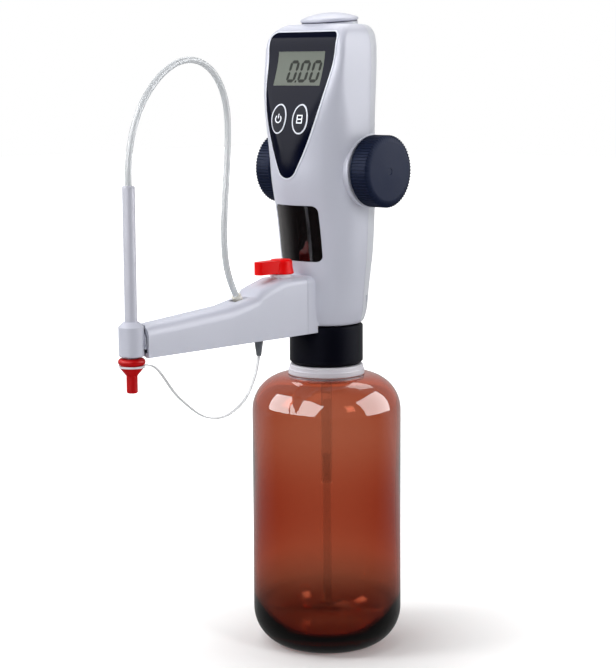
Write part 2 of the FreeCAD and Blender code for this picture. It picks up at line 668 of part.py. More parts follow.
def panel_recess():
    """The tray in the front shell for the panel, with openings for the display and keys."""
    tray = cut("panel_tray", prism("tray_prism", panel_steps(), grow="rim_width + 0.05"),
               form("-panel_thickness"))
    window_way = prism("display_opening", rectangle("display_half", "display_low",
                                                    "display_high"))
    return fuse("panel_recess", tray, window_way,
                *[key_oval(name + "_opening", x, "key_gap") for name, x in KEYS])


def front_panel():
    """Dark shield-shaped panel, its raised rim, the display lens and module, and the keys."""
    back = "panel_seat - panel_thickness"
    shield = prism("shield", panel_steps())
    lens_way = prism("lens_way", rectangle("display_half", "display_low", "display_high"))
    key_ways = [key_oval(name + "_way", x, "key_gap + key_ring_width") for name, x in KEYS]
    node(cut("panel_plate", skin("panel_skin", shield, "0", back), lens_way,
             *key_ways), "front_panel")
    hoop = cut("rim_hoop", prism("rim_prism", panel_steps(), grow="rim_width"),
               prism("rim_inside", panel_steps(), grow="0.02"))
    rings = [skin("rim_skin", hoop, "rim_rise", back)]
    lens = prism("lens_prism", rectangle("display_half - 0.05", "display_low + 0.05",
                                         "display_high - 0.05"))
    node(skin("lens_skin", lens, "-lens_sink", back), "display_lens")
    module = prism("module_prism", rectangle("display_half + module_margin",
                                             "display_low - module_margin",
                                             "display_high + module_margin"))
    node(skin("module_skin", module, "-wall - 0.05", "-wall - module_depth"), "display_module")
    for name, x in KEYS:
        cap_oval = key_oval(name + "_oval", x, "0")
        node(skin(name + "_cap", cap_oval, "key_rise", "-key_depth"), name + "_key")
        hoop = cut(name + "_hoop",
                   key_oval(name + "_outside", x, "key_gap + key_ring_width - 0.02"),
                   key_oval(name + "_inside", x, "key_gap"))
        rings.append(skin(name + "_ring", hoop, "rim_rise", back))
    node(fuse("raised_rims", *rings), "panel_rims")


def window_prism(label, grow=None):
    return prism(label, rounded("window_half", "window_low", "window_high", "window_corner"),
                 grow=grow)


def window():
    """Dark transparent pane that wraps round the front of the housing."""
    node(skin("window_skin", window_prism("pane"), "0.1", "-wall"), "inspection_window")


def leaning(label, x, y, z):
    """A block square to the leaning circuit board: y from its front face, z from its middle."""
    box = doc.addObject("Part::Box", label)
    box.Placement.Rotation = FreeCAD.Rotation(FreeCAD.Vector(1, 0, 0), -value("board_lean"))
    tie(box, Length="(%s) - (%s)" % (x[1], x[0]), Width="(%s) - (%s)" % (y[1], y[0]),
        Height="(%s) - (%s)" % (z[1], z[0]))
    back = "-board_front + (%s) * cos(board_lean) + (%s) * sin(board_lean)" % (y[0], z[0])
    level = "board_level - (%s) * sin(board_lean) + (%s) * cos(board_lean)" % (y[0], z[0])
    return place(box, x[0], back, level)


def electronics():
    """Circuit board with two key switches, leaning behind the panel, and the battery tray."""
    board = leaning("board", ("-board_width / 2", "board_width / 2"), ("0", "board_thickness"),
                    ("-board_length / 2", "board_length / 2"))
    switches = [leaning(name + "_switch", (x + " - switch_size / 2", x + " + switch_size / 2"),
                        ("-switch_height", "0"),
                        ("-key_drop - switch_size / 2", "-key_drop + switch_size / 2"))
                for name, x in KEYS]
    node(fuse("board_set", board, *switches), "circuit_board")
    levels = ["cell_low", "cell_low + 2 * cell_radius + cell_gap"]
    end = "cell_length / 2 + cell_gap"
    cells = [rod("cell_%d" % i, "cell_radius", "cell_length", x="-cell_length / 2",
                 y="cell_back", z=level, along="x") for i, level in enumerate(levels)]
    beds = [rod("cell_bed_%d" % i, "cell_radius + 0.1", "2 * (%s)" % end, x="-(%s)" % end,
                y="cell_back", z=level, along="x") for i, level in enumerate(levels)]
    tray = block("tray", ("-(%s) - tray_wall" % end, end + " + tray_wall"),
                 ("cell_back - cell_radius - tray_wall", "cell_back + 1"),
                 ("frame_high + 0.1", levels[1] + " + cell_radius + tray_wall"))
    node(cut("tray_cut", tray, *beds), "battery_tray")
    node(fuse("cell_pair", *cells), "batteries")


def on_cap(body):
    """Put a turned piece on the slightly leaning seat of the cap."""
    body.Placement.Rotation = FreeCAD.Rotation(FreeCAD.Vector(1, 0, 0), value("cap_lean"))
    return place(body, 0, "cap_back", "cap_level")


def top():
    """Domed cap on a flat gasket, which closes the opening over the piston rod."""
    dome_rise = "(cap_height - gasket_height - cap_edge)"
    dome_round = "((cap_radius - 0.6) ^ 2 + %s ^ 2) / (2 * %s)" % (dome_rise, dome_rise)
    node(on_cap(turned("cap_turning", [
        (0, "gasket_height"), ("cap_radius - 0.5", "gasket_height"),
        ("cap_radius", "gasket_height + 0.5"), ("cap_radius", "gasket_height + cap_edge - 0.5"),
        ("cap_radius - 0.6", "gasket_height + cap_edge"), (0, "cap_height", dome_round)])),
        "top_cap")
    node(on_cap(ring("gasket_turning", "cap_radius - 4", "cap_radius - 0.8", "0",
                     "gasket_height")), "cap_gasket")


def swivel_and_valves():
    """Swivel bush, valve block, inlet valve with its ball, and the telescoping filling tube."""
    node(ring("bush_turning", "sleeve_radius + swivel_clearance", "bush_radius", "wall + 0.1",
              "wall + 0.1 + bush_height"), "swivel_bush")
    block_turn = turned("block_turning", [
        (0, "block_low"), ("block_flange", "block_low"), ("block_flange", "block_low + 3"),
        ("block_radius", "block_low + 3"), ("block_radius", "block_high"),
        ("glass_clear", "block_high"), ("glass_clear", "glass_low"), (0, "glass_low")])
    plug_bore = rod("plug_bore", "plug_radius + push_fit", "4.2", z="block_low - 0.2")
    feed = rod("feed", "feed_radius", "20", z="block_low")
    side_feed = rod("side_feed", "feed_radius - 0.2", "40", y="-40", z="pipe_level", along="y")
    node(cut("block_cut", block_turn, plug_bore, feed, side_feed), "valve_block")
    low, top_of_plug = "plug_low", "block_low + 4"
    inner = "upper_tube_radius - tube_wall"
    node(turned("plug_turning", [
        ("feed_radius", low + " - 6"), (inner + " - push_fit", low + " - 6"),
        (inner + " - push_fit", low),
        ("plug_radius", low), ("plug_radius", top_of_plug),
        ("ball_radius + 0.3", top_of_plug), ("ball_radius + 0.3", low + " + 5"),
        ("feed_radius", low + " + 3")]), "inlet_valve")
    ball = doc.addObject("Part::Sphere", "ball")
    tie(ball, Radius="ball_radius")
    node(place(ball, 0, 0, low + " + ball_radius + 3.7"), "inlet_ball")
    node(ring("upper_tube_turning", inner, "upper_tube_radius", "upper_tube_low - lift", low),
         "filling_tube_upper")
    outer = inner + " - tube_fit"
    lower_low = "lower_tube_low - lift"
    tube = ring("lower_tube_turning", outer + " - 0.8", outer, lower_low,
                lower_low + " + lower_tube_length")
    slant = doc.addObject("Part::Box", "slant_cut")
    slant.Placement.Rotation = FreeCAD.Rotation(FreeCAD.Vector(0, 1, 0), 45)
    tie(slant, Length="10", Width="20", Height="10")
    place(slant, "-(%s) - 7.07" % outer, "-10", lower_low)
    node(cut("lower_tube_cut", tube, slant), "filling_tube_lower")


def cylinder():
    """Glass measuring cylinder, its head, and the piston with its two seal rings."""
    node(ring("glass_turning", "glass_bore", "glass_radius", "glass_low", "glass_high"),
         "glass_cylinder")
    head_low = "glass_high - glass_seat"
    head = turned("head_turning", [
        (0, "glass_high"), ("glass_clear", "glass_high"), ("glass_clear", head_low),
        ("block_radius", head_low), ("block_radius", "head_high"), (0, "head_high")])
    way = block("rod_way", ("-rod_width / 2 - rod_guide_gap", "rod_width / 2 + rod_guide_gap"),
                ("-rod_front - rod_guide_gap", "rod_back + rod_guide_gap"),
                ("glass_high - 1", "head_high + 1"))
    node(cut("head_cut", head, way), "cylinder_head")
    low, outer, groove = "piston_low", "glass_bore - piston_clearance", "glass_bore - 1.6"
    high = low + " + piston_height"
    starts = (low + " + 1.4", high + " - 1.4 - seal_ring_height")
    steps = [(0, low), (outer, low)]
    for start in starts:
        end = start + " + seal_ring_height"
        steps += [(outer, start), (groove, start), (groove, end), (outer, end)]
    node(turned("piston_turning", steps + [(outer, high), (0, high)]), "piston")
    seals = [ring("seal_%d" % i, groove + " + push_fit", "glass_bore - seal_clearance", start,
                  start + " + seal_ring_height") for i, start in enumerate(starts)]
    node(fuse("seal_pair", *seals), "piston_seals")


def tooth_flank(teeth, module):
    """Half tooth of an involute gear as (angle from the tooth's middle, radius) pairs."""
    pressure = math.radians(value("pressure_angle"))
    pitch = module * teeth / 2
    base = pitch * math.cos(pressure)
    middle = math.pi / (2 * teeth) - value("tooth_play") / pitch
    low, high = max(base, pitch - module), pitch + value("addendum") * module
    flank = []
    for i in range(4):
        radius = low + (high - low) * i / 3
        turn = math.acos(min(base / radius, 1))
        spread = (math.tan(pressure) - pressure) - (math.tan(turn) - turn)
        flank.append((middle + spread, radius))
    return flank


def toothed(teeth, module, face, phase):
    """An involute spur gear about X, from x = 0, with a tooth's middle at phase, in degrees
    from +Y towards +Z."""
    flank = tooth_flank(teeth, module)
    root = module * teeth / 2 - module * value("dedendum")
    points = []
    for tooth in range(int(teeth)):
        middle = math.radians(phase) + 2 * math.pi * tooth / teeth
        rise = [(-flank[0][0], root)] + [(-angle, radius) for angle, radius in flank]
        whole = rise + [(-angle, radius) for angle, radius in reversed(rise)]
        points += [FreeCAD.Vector(0, radius * math.cos(middle + angle),
                                  radius * math.sin(middle + angle)) for angle, radius in whole]
    return Part.Face(Part.makePolygon(points + points[:1])).extrude(FreeCAD.Vector(face, 0, 0))


def rack_bar():
    """The piston rod: a flat bar whose rear edge is a rack in mesh with the rack pinion."""
    module, level = value("rack_module"), value("idler_level")
    pitch = module * math.pi
    tip, low, high = value("rod_back"), value("rack_low"), value("rod_top")
    slope = math.tan(math.radians(value("pressure_angle")))
    root = tip - (value("addendum") + value("dedendum")) * module
    half = pitch / 4 - value("tooth_play")
    foot, crest = half + value("dedendum") * module * slope, half - value("addendum") * module * slope
    start, front = value("piston_low + piston_height"), -value("rod_front")
    points = [(front, start), (tip, start), (tip, low), (root, low)]
    first = math.ceil((low - level) / pitch) + 0.5
    last = math.floor((high - level) / pitch) - 0.5
    for i in range(int(last - first) + 1):
        middle = level + (first + i) * pitch
        points += [(root, middle - foot), (tip, middle - crest), (tip, middle + crest),
                   (root, middle + foot)]
    points += [(root, high), (front, high)]
    side = -value("rod_width") / 2
    wire = Part.makePolygon([FreeCAD.Vector(side, y, z) for y, z in points + points[:1]])
    return Part.Face(wire).extrude(FreeCAD.Vector(-2 * side, 0, 0))


def drive():
    """Wheel shaft with pinion, reduction gear and rack pinion, and the frame that holds them."""
    node(plain("rack_bar", rack_bar()), "piston_rack")
    towards = math.degrees(math.atan2(value("idler_rise"), value("idler_back - seam_back")))
    teeth, fine = value("reduction_teeth"), value("gear_module")
    pinion = place(plain("pinion_teeth", toothed(value("hand_teeth"), fine, value("pinion_face"),
                                                 towards)),
                   "gear_side - 1", "seam_back", "wheel_level")
    large = place(plain("gear_teeth", toothed(teeth, fine, value("gear_face"),
                                              towards + 180 + 180 / teeth)),
                  "gear_side", "idler_back", "idler_level")
    small = place(plain("rack_pinion_teeth", toothed(value("rack_teeth"), value("rack_module"),
                                                     value("rod_width") + 1, 180)),
                  "-rod_width / 2 - 0.5", "idler_back", "idler_level")
    axles = [rod(name + "_axle", radius, "80", x="-40", y=back, z=level, along="x")
             for name, radius, back, level in (
                 ("hand", "shaft_radius + push_fit", "seam_back", "wheel_level"),
                 ("idler", "idler_radius + push_fit", "idler_back", "idler_level"))]
    node(cut("pinion_cut", pinion, axles[0]), "drive_pinion")
    node(cut("gear_cut", large, axles[1]), "reduction_gear")
    idler = rod("idler_bar", "idler_radius", "2 * plate_side + 2 * plate + 1",
                x="-plate_side - plate - 0.5", y="idler_back", z="idler_level", along="x")
    node(fuse("idler_whole", small, idler), "rack_pinion")
    node(rod("shaft_bar", "shaft_radius", "2 * (wheel_outer - shaft_end_gap)",
             x="shaft_end_gap - wheel_outer", y="seam_back", z="wheel_level", along="x"),
         "wheel_shaft")
    outside = block("frame_block", ("-plate_side - plate", "plate_side + plate"),
                    ("-frame_front", "frame_rear"), ("frame_low", "frame_high"))
    inside = block("frame_hollow", ("-plate_side", "plate_side"), ("-60", "60"),
                   ("frame_low + plate", "frame_high - plate"))
    way = block("frame_way", ("-rod_width / 2 - rod_guide_gap", "rod_width / 2 + rod_guide_gap"),
                ("-rod_front - rod_guide_gap", "rod_back + rod_guide_gap"),
                ("frame_low - 1", "frame_high + 1"))
    bores = [rod("frame_shaft_bore", "shaft_radius + shaft_clearance", "80", x="-40",
                 y="seam_back", z="wheel_level", along="x"),
             rod("frame_idler_bore", "idler_radius + shaft_clearance", "80", x="-40",
                 y="idler_back", z="idler_level", along="x")]
    node(cut("frame_cut", outside, inside, way, *bores), "drive_frame")


def repeated(body, steps, lift, length, count):
    """Cut one outline, drawn square to the X axis, and repeat the cut round that axis."""
    notch = body.newObject("PartDesign::Pocket", "Notch")
    notch.Profile = sketch_in(body, "YZ_Plane", steps, lift)
    notch.Reversed = True
    tie(notch, Length=length)
    doc.recompute()
    copies = body.newObject("PartDesign::PolarPattern", "Copies")
    copies.Originals = [notch]
    copies.Axis = ([f for f in body.Origin.OriginFeatures if f.Role == "X_Axis"][0], [""])
    tie(copies, Occurrences=count)
    body.Tip = copies
    return body


def encoder():
    """Slotted disc on the wheel shaft, which the sensor reads."""
    side = "-encoder_side"
    body = turned("encoder_turning", [
        (side, "shaft_radius + push_fit"), (side, "encoder_radius"),
        (side + " + encoder_disc", "encoder_radius"),
        (side + " + encoder_disc", "shaft_radius + push_fit")],
        "XY_Plane", "H_Axis")
    repeated(body, rectangle("0.9", "encoder_radius - 4", "encoder_radius - 1.2"), side,
             "encoder_disc", "encoder_slots")
    node(place(body, 0, "seam_back", "wheel_level"), "encoder_disc")


def facing_left(body):
    body.Placement.Rotation = FreeCAD.Rotation(FreeCAD.Vector(0, 0, 1), 180)


def hand_wheel(side):
    """Cup-shaped hand wheel: ribbed rim, web, hub and a slightly domed face."""
    rim, face = "wheel_inner", "wheel_outer - wheel_dome"
    inner, reach = "wheel_radius - wheel_rim", "wheel_radius - wheel_edge"
    dome_round = "((%s) ^ 2 + wheel_dome ^ 2) / (2 * wheel_dome)" % reach
    edge_round = "(wheel_edge ^ 2 + wheel_edge_rise ^ 2) / (2 * wheel_edge_rise)"
    end = "wheel_outer - shaft_end_gap"
    body = turned("wheel_" + side, [
        (end, 0), (end, "shaft_radius + push_fit"), (rim + " + 0.4", "shaft_radius + push_fit"),
        (rim + " + 0.4", "wheel_hub"), (face + " - wheel_web", "wheel_hub"),
        (face + " - wheel_web", inner), (rim, inner), (rim, "wheel_radius - 1"),
        (rim + " + 1", "wheel_radius"), (face + " - wheel_edge_rise", "wheel_radius"),
        (face, reach, "-(%s)" % edge_round), ("wheel_outer", 0, "-(%s)" % dome_round)],
        "XY_Plane", "H_Axis")
    half = "(rib_share * 3.14159 * wheel_radius / rib_count)"
    low, high = "wheel_radius - rib_depth", "wheel_radius + 0.3"
    repeated(body, [("-" + half, high), ("-%s * 0.4" % half, low), (half + " * 0.4", low),
                    (half, high)], rim + " + 1.4",
             "wheel_outer - wheel_inner - wheel_dome - wheel_edge_rise - 2", "rib_count")
    if side == "left":
        facing_left(body)
    node(place(body, 0, "seam_back", "wheel_level"), "handwheel_" + side)


def shaft_bushes():
    """Flanged bushes that carry the wheel shaft where it leaves the housing on each side."""
    inner = "shaft_radius + shaft_clearance"
    outer, end = inner + " + sleeve_wall", "wheel_inner - flange_gap"
    pair = []
    for side in ("left", "right"):
        body = turned("bush_" + side, [
            ("chin_half - 5", inner), (end, inner), (end, "flange_radius - 0.5"),
            (end + " - 0.5", "flange_radius"), ("hub_boss_end", "flange_radius"),
            ("hub_boss_end", outer), ("chin_half - 5", outer)], "XY_Plane", "H_Axis")
        if side == "left":
            facing_left(body)
        pair.append(place(body, 0, "seam_back", "wheel_level"))
    node(fuse("bush_pair", *pair), "shaft_bushes")


def arm_section(name, shrink):
    """Size words for one section of the arm, shrunk by a wall."""
    return [name + "_reach", name + "_half - " + shrink, name + "_top - " + shrink,
            "max(%s_corner - %s; 1)" % (name, shrink)]


def arm():
    """Arched hollow arm with the valve boss, hose slot and rail opening, and its underside."""
    outer = arch_loft("arm_outer", [arm_section(row[0], "0") + ["-arm_bottom"] for row in ARM])
    cavity = [arm_section(row[0], "arm_wall") + ["-arm_bottom - 1"] for row in ARM]
    cavity[0][0] += " - 2"
    cavity[-1][0] += " - arm_wall"
    slot = block("hose_slot", ("-slot_half", "slot_half"), ("-slot_front", "-slot_rear"),
                 ("10", "60"))
    rail_way = padded_arch("rail_way", "arm_tip_reach - 5", "10", "rail_half + rail_gap",
                           "rail_low + rail_height + rail_gap_high",
                           "rail_corner + rail_gap", "rail_low - rail_gap_low")
    nest = rod("tip_nest", "nest_radius", "60", y="-holder_reach", z="-20")
    spindle_way = rod("spindle_way", "spindle_radius + shaft_clearance", "40",
                      y="-lever_reach", z="10")
    node(cut("arm_cut", outer, arch_loft("arm_cavity", cavity), slot, rail_way, spindle_way,
             nest), "arm_shell")
    cover = padded("cover_pad", "XY_Plane", [
        ("-arm_root_half + arm_wall + cover_gap", "-arm_start - 0.2"),
        ("-arm_tip_half + arm_wall + cover_gap", "nest_radius + cover_gap - holder_reach"),
        ("arm_tip_half - arm_wall - cover_gap", "nest_radius + cover_gap - holder_reach"),
        ("arm_root_half - arm_wall - cover_gap", "-arm_start - 0.2")], "arm_cover",
        "-arm_bottom")
    node(cover, "arm_base")
    node(place(turned("anchor_turning", [
        (0, "-anchor_height"), ("anchor_tip", "-anchor_height"),
        ("anchor_radius - 0.6", "-1.4"), ("anchor_radius", "-1.2"), ("anchor_radius", 0),
        (0, 0)]), 0, "-anchor_reach", "-arm_bottom"), "strap_anchor")


def arm_valve():
    """Three-way valve in the arm: body, feed pipe, spindle, neck ring and the red lever."""
    body_high = "arm_root_top - arm_wall - 1.5"
    house = rod("valve_house", "valve_radius", "(%s) - (arm_cover - arm_bottom) - 0.1" % body_high,
                y="-lever_reach", z="arm_cover - arm_bottom + 0.1")
    bore = rod("valve_bore", "spindle_radius + shaft_clearance", "40", y="-lever_reach",
               z="spindle_low")
    port = rod("valve_port", "feed_radius", "60", y="-lever_reach", z="pipe_level", along="y")
    pipe = rod("pipe_outside", "feed_radius + pipe_wall", "lever_reach - block_radius - 3.1",
               y="-lever_reach + 3", z="pipe_level", along="y")
    node(cut("valve_cut", fuse("valve_and_pipe", house, pipe), bore, port), "discharge_valve")
    node(rod("spindle_bar", "spindle_radius", "lever_low - spindle_low + 4", y="-lever_reach",
             z="spindle_low"), "valve_spindle")
    node(place(ring("neck_ring_turning", "spindle_radius + shaft_clearance",
                    "neck_ring_radius", "0", "neck_ring_height"), 0, "-lever_reach",
               "arm_root_top"), "lever_neck_ring")
    knob = turned("knob_turning", [
        (0, 0), ("lever_radius - 0.4", 0), ("lever_radius", "0.5"),
        ("lever_radius - 0.7", "lever_height * 0.4"), ("lever_radius - 1.1", "lever_height - 1.4"),
        ("lever_radius - 2.4", "lever_height", 1.9), (0, "lever_height")])
    tail = padded("lever_tail", "XY_Plane", [
        ("lever_end + 1", "-4"), ("-lever_end - 1", "-4"),
        ("-lever_end", "lever_end * 0.6 - lever_length"),
        ("lever_end", "lever_end * 0.6 - lever_length", "lever_end * 1.13")],
        "lever_height - 0.9", "0.5")
    socket = rod("lever_socket", "spindle_radius + push_fit", "4.1")
    lever = cut("lever_cut", fuse("lever_whole", knob, tail), socket)
    node(place(lever, 0, "-lever_reach", "lever_low"), "valve_lever")


def rail_and_tube():
    """Sliding rail with the holder ring, the titrating tube with its nozzle, cap and band."""
    bar = padded_arch("rail_bar", "rail_back", "rail_end - rail_back", "rail_half",
                      "rail_low + rail_height", "rail_corner", "rail_low")
    trough = block("rail_trough", ("-rail_half + rail_corner", "rail_half - rail_corner"),
                   ("-rail_end + 8", "-rail_back + 1"), ("rail_low + 1.8", "60"))
    seat = rod("rail_seat", "holder_radius + push_fit", "60", y="-holder_reach", z="-20")
    node(cut("rail_cut", bar, trough, seat), "arm_rail")
    inner, low = "tube_radius + holder_clearance", "-holder_low"
    high = low + " + holder_height"
    hoop = turned("holder_turning", [
        (inner, low), ("holder_radius - 0.5", low), ("holder_radius", low + " + 0.5"),
        ("holder_radius", high + " - holder_bevel"), ("holder_radius - holder_bevel", high),
        (inner, high)])
    node(place(hoop, 0, "-holder_reach", 0), "tube_holder")
    bottom = "-tube_drop"
    node(place(turned("tube_turning", [
        ("tube_bore", bottom), ("tube_radius", bottom), ("tube_radius", "tube_top - 0.6"),
        ("tube_radius - 0.6", "tube_top"), ("tube_bore", "tube_top")]), 0, "-holder_reach", 0),
        "titrating_tube")
    node(place(turned("nozzle_turning", [
        ("nozzle_tip - 0.4", bottom + " - nozzle_length"),
        ("nozzle_tip", bottom + " - nozzle_length"),
        ("nozzle_radius", bottom + " - 4"), ("nozzle_radius", bottom),
        ("tube_bore - push_fit", bottom), ("tube_bore - push_fit", bottom + " + 5"),
        ("nozzle_tip - 0.4", bottom + " + 5")]),
        0, "-holder_reach", 0), "tube_nozzle")
    top_level, step = "-cap_drop", "-cap_drop - cap_flange_height"
    waist = "cap_taper - 0.8"
    grip = "tube_radius + cap_grip"
    cap_round = "((cap_flange_height / 2) ^ 2 + cap_bulge ^ 2) / (2 * cap_bulge)"
    node(place(turned("cap_turning_red", [
        (0, "-cap_drop - cap_total"), ("cap_spigot - 0.6", "-cap_drop - cap_total"),
        ("cap_spigot", "-cap_drop - cap_total + 0.6"),
        ("cap_spigot", step + " - band_height - 0.1 - cap_cone"),
        ("cap_taper", step + " - band_height - 0.1"), (waist, step + " - band_height - 0.1"),
        (waist, step), ("cap_flange - cap_bulge", step),
        ("cap_flange - cap_bulge", top_level, cap_round), (grip, top_level),
        (grip, bottom + " - 0.1"), ("nozzle_radius + 0.1", bottom + " - 0.1"),
        ("nozzle_radius + 0.1", bottom + " - nozzle_length - 0.3"),
        (0, bottom + " - nozzle_length - 0.3")]), 0, "-holder_reach", 0), "tip_cap")
    node(place(ring("band_turning", waist + " + 0.05", "band_radius",
                    step + " - band_height - 0.05", step + " - 0.05"), 0, "-holder_reach", 0),
         "cap_band")


def route(points):
    """A path of straight runs joined by tangent arcs, each as large as its two runs allow."""
    corners = [FreeCAD.Vector(0, -reach, level) for reach, level in points]
    edges, start, radii = [], corners[0], []
    for before, corner, after in zip(corners, corners[1:], corners[2:]):
        back, ahead = before - corner, after - corner
        shorter = min(back.Length, ahead.Length)
        back.normalize()
        ahead.normalize()
        turn = math.pi - back.getAngle(ahead)
        setback = 0.45 * shorter
        radii.append(setback / math.tan(turn / 2))
        enter, leave = corner + back * setback, corner + ahead * setback
        towards = (back + ahead).normalize()
        deep = radii[-1] / math.cos(turn / 2) - radii[-1]
        edges.append(Part.LineSegment(start, enter).toShape())
        edges.append(Part.Arc(enter, corner + towards * deep, leave).toShape())
        start = leave
    edges.append(Part.LineSegment(start, corners[-1]).toShape())
    return Part.Wire(edges), radii


def cord(name, points, radius):
    """One stretch of a free cord, swept along its route."""
    path, radii = route(points)
    way = (path.Edges[0].Vertexes[1].Point - path.Edges[0].Vertexes[0].Point).normalize()
    rim = Part.Wire(Part.makeCircle(radius, path.Edges[0].Vertexes[0].Point, way))
    tube = path.makePipeShell([rim], True, False)
    ideal = math.pi * radius ** 2 * path.Length
    print("%s: %.1f mm long, radii %s mm, volume %.3f of its section times its length" % (
        name, path.Length, ", ".join("%.0f" % one for one in radii), tube.Volume / ideal))
    node(plain(name + "_sweep", tube), name)


def cords():
    """Translucent hose from the arm into the tube, and the flat strap that keeps the cap."""
    lean = math.radians(value("gland_lean"))
    gland = ring("gland_turning", "hose_radius", "hose_radius + gland_wall", "0", "gland_length")
    gland.Placement.Rotation = FreeCAD.Rotation(FreeCAD.Vector(1, 0, 0), math.degrees(lean))
    node(place(gland, 0, "-gland_reach", "gland_level"), "hose_gland")
    cord("hose_root", HOSE_ROOT, value("hose_radius"))
    cord("hose_end", HOSE_TIP, value("hose_radius"))
    cord("strap_root", STRAP_ROOT, value("strap_radius"))
    cord("strap_middle", STRAP_MIDDLE, value("strap_radius"))
    cord("strap_end", STRAP_TIP, value("strap_radius"))


def check_and_write():
    """Stop if anything failed, then write each sub-part to its own file."""
    doc.recompute()
    for thing in doc.Objects:
        if "Invalid" in thing.State or "Error" in thing.State:
            raise RuntimeError("%s (%s) failed" % (thing.Name, thing.Label))
    for thing in nodes:
        if thing.Shape.isNull() or not thing.Shape.isValid() or not thing.Shape.Solids:
            raise RuntimeError("%s has no valid solid" % thing.Label)
    os.makedirs("parts", exist_ok=True)
    for thing in nodes:
        thing.Shape.exportStep("parts/%s.step" % thing.Label)


doc.recompute()
bottle()
pouring_ring()
collar()
housing()
front_panel()
window()
electronics()
top()
swivel_and_valves()
cylinder()
drive()
encoder()
hand_wheel("left")
hand_wheel("right")
shaft_bushes()
arm()
arm_valve()
rail_and_tube()
cords()
check_and_write()
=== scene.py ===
import json
import math

import bmesh
import bpy
from mathutils import Matrix, Vector
from mathutils.bvhtree import BVHTree
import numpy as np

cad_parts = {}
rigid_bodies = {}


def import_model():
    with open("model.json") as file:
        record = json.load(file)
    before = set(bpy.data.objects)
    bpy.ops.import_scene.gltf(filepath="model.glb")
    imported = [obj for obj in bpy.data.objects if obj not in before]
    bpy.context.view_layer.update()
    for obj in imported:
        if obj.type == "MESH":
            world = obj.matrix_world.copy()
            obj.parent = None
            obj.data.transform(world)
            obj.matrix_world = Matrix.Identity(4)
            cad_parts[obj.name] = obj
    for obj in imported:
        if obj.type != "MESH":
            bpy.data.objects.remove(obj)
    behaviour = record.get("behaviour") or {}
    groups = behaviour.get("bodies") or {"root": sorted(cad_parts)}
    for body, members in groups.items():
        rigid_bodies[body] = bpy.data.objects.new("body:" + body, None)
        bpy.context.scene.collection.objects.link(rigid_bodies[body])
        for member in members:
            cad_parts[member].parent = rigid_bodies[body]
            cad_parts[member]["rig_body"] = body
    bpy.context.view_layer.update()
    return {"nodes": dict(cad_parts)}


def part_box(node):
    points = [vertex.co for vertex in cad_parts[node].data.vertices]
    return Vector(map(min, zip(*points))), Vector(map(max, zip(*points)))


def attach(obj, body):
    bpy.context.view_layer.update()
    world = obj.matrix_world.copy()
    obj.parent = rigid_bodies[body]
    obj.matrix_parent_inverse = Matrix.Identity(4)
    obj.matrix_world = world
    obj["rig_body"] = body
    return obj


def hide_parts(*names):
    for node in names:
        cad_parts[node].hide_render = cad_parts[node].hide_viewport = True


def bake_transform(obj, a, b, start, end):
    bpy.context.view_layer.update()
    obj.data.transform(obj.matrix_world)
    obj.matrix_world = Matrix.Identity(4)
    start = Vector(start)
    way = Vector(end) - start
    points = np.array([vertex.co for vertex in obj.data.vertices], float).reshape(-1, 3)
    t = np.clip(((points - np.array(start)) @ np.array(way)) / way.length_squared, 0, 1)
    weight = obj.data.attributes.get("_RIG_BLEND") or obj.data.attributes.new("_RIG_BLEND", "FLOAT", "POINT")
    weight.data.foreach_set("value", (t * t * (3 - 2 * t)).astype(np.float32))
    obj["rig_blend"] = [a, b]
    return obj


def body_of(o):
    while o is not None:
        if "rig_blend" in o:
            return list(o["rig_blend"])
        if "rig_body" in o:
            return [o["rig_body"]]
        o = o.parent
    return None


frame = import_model()

# Where the photographer stood: to the right of the titrating tube's side, a little above the
# display, with a long lens. The angles come from lines fitted to the photograph.
SIGHT_AZIMUTH = math.radians(42.02)
SIGHT_DISTANCE = 1.24002
SIGHT_HEIGHT = 0.38944
SIGHT_DOWN = math.radians(8.09)
SIGHT_PAN = math.radians(0.57)
SIGHT_ROLL = math.radians(-0.31)
FRAME_WIDTH_PX = 616
FOCAL_PX = 1851.86

camera = bpy.data.objects.new("camera", bpy.data.cameras.new("camera"))
bpy.context.scene.collection.objects.link(camera)
bpy.context.scene.camera = camera
camera.data.sensor_fit = "HORIZONTAL"
camera.data.sensor_width = 36.0
camera.data.lens = FOCAL_PX * camera.data.sensor_width / FRAME_WIDTH_PX
camera.data.clip_end = 20.0
heading = SIGHT_AZIMUTH + SIGHT_PAN
forward = Vector((-math.sin(heading) * math.cos(SIGHT_DOWN),
                  math.cos(heading) * math.cos(SIGHT_DOWN), -math.sin(SIGHT_DOWN)))
rightward = Vector((math.cos(heading), math.sin(heading), 0))
upward = rightward.cross(forward)
rolled = Matrix.Rotation(-SIGHT_ROLL, 3, forward)
rightward = rolled @ rightward
upward = rolled @ upward
camera.matrix_world = Matrix((
    (rightward.x, upward.x, -forward.x, SIGHT_DISTANCE * math.sin(SIGHT_AZIMUTH)),
    (rightward.y, upward.y, -forward.y, -SIGHT_DISTANCE * math.cos(SIGHT_AZIMUTH)),
    (rightward.z, upward.z, -forward.z, SIGHT_HEIGHT),
    (0, 0, 0, 1)))
bpy.context.scene.view_settings.view_transform = "Standard"


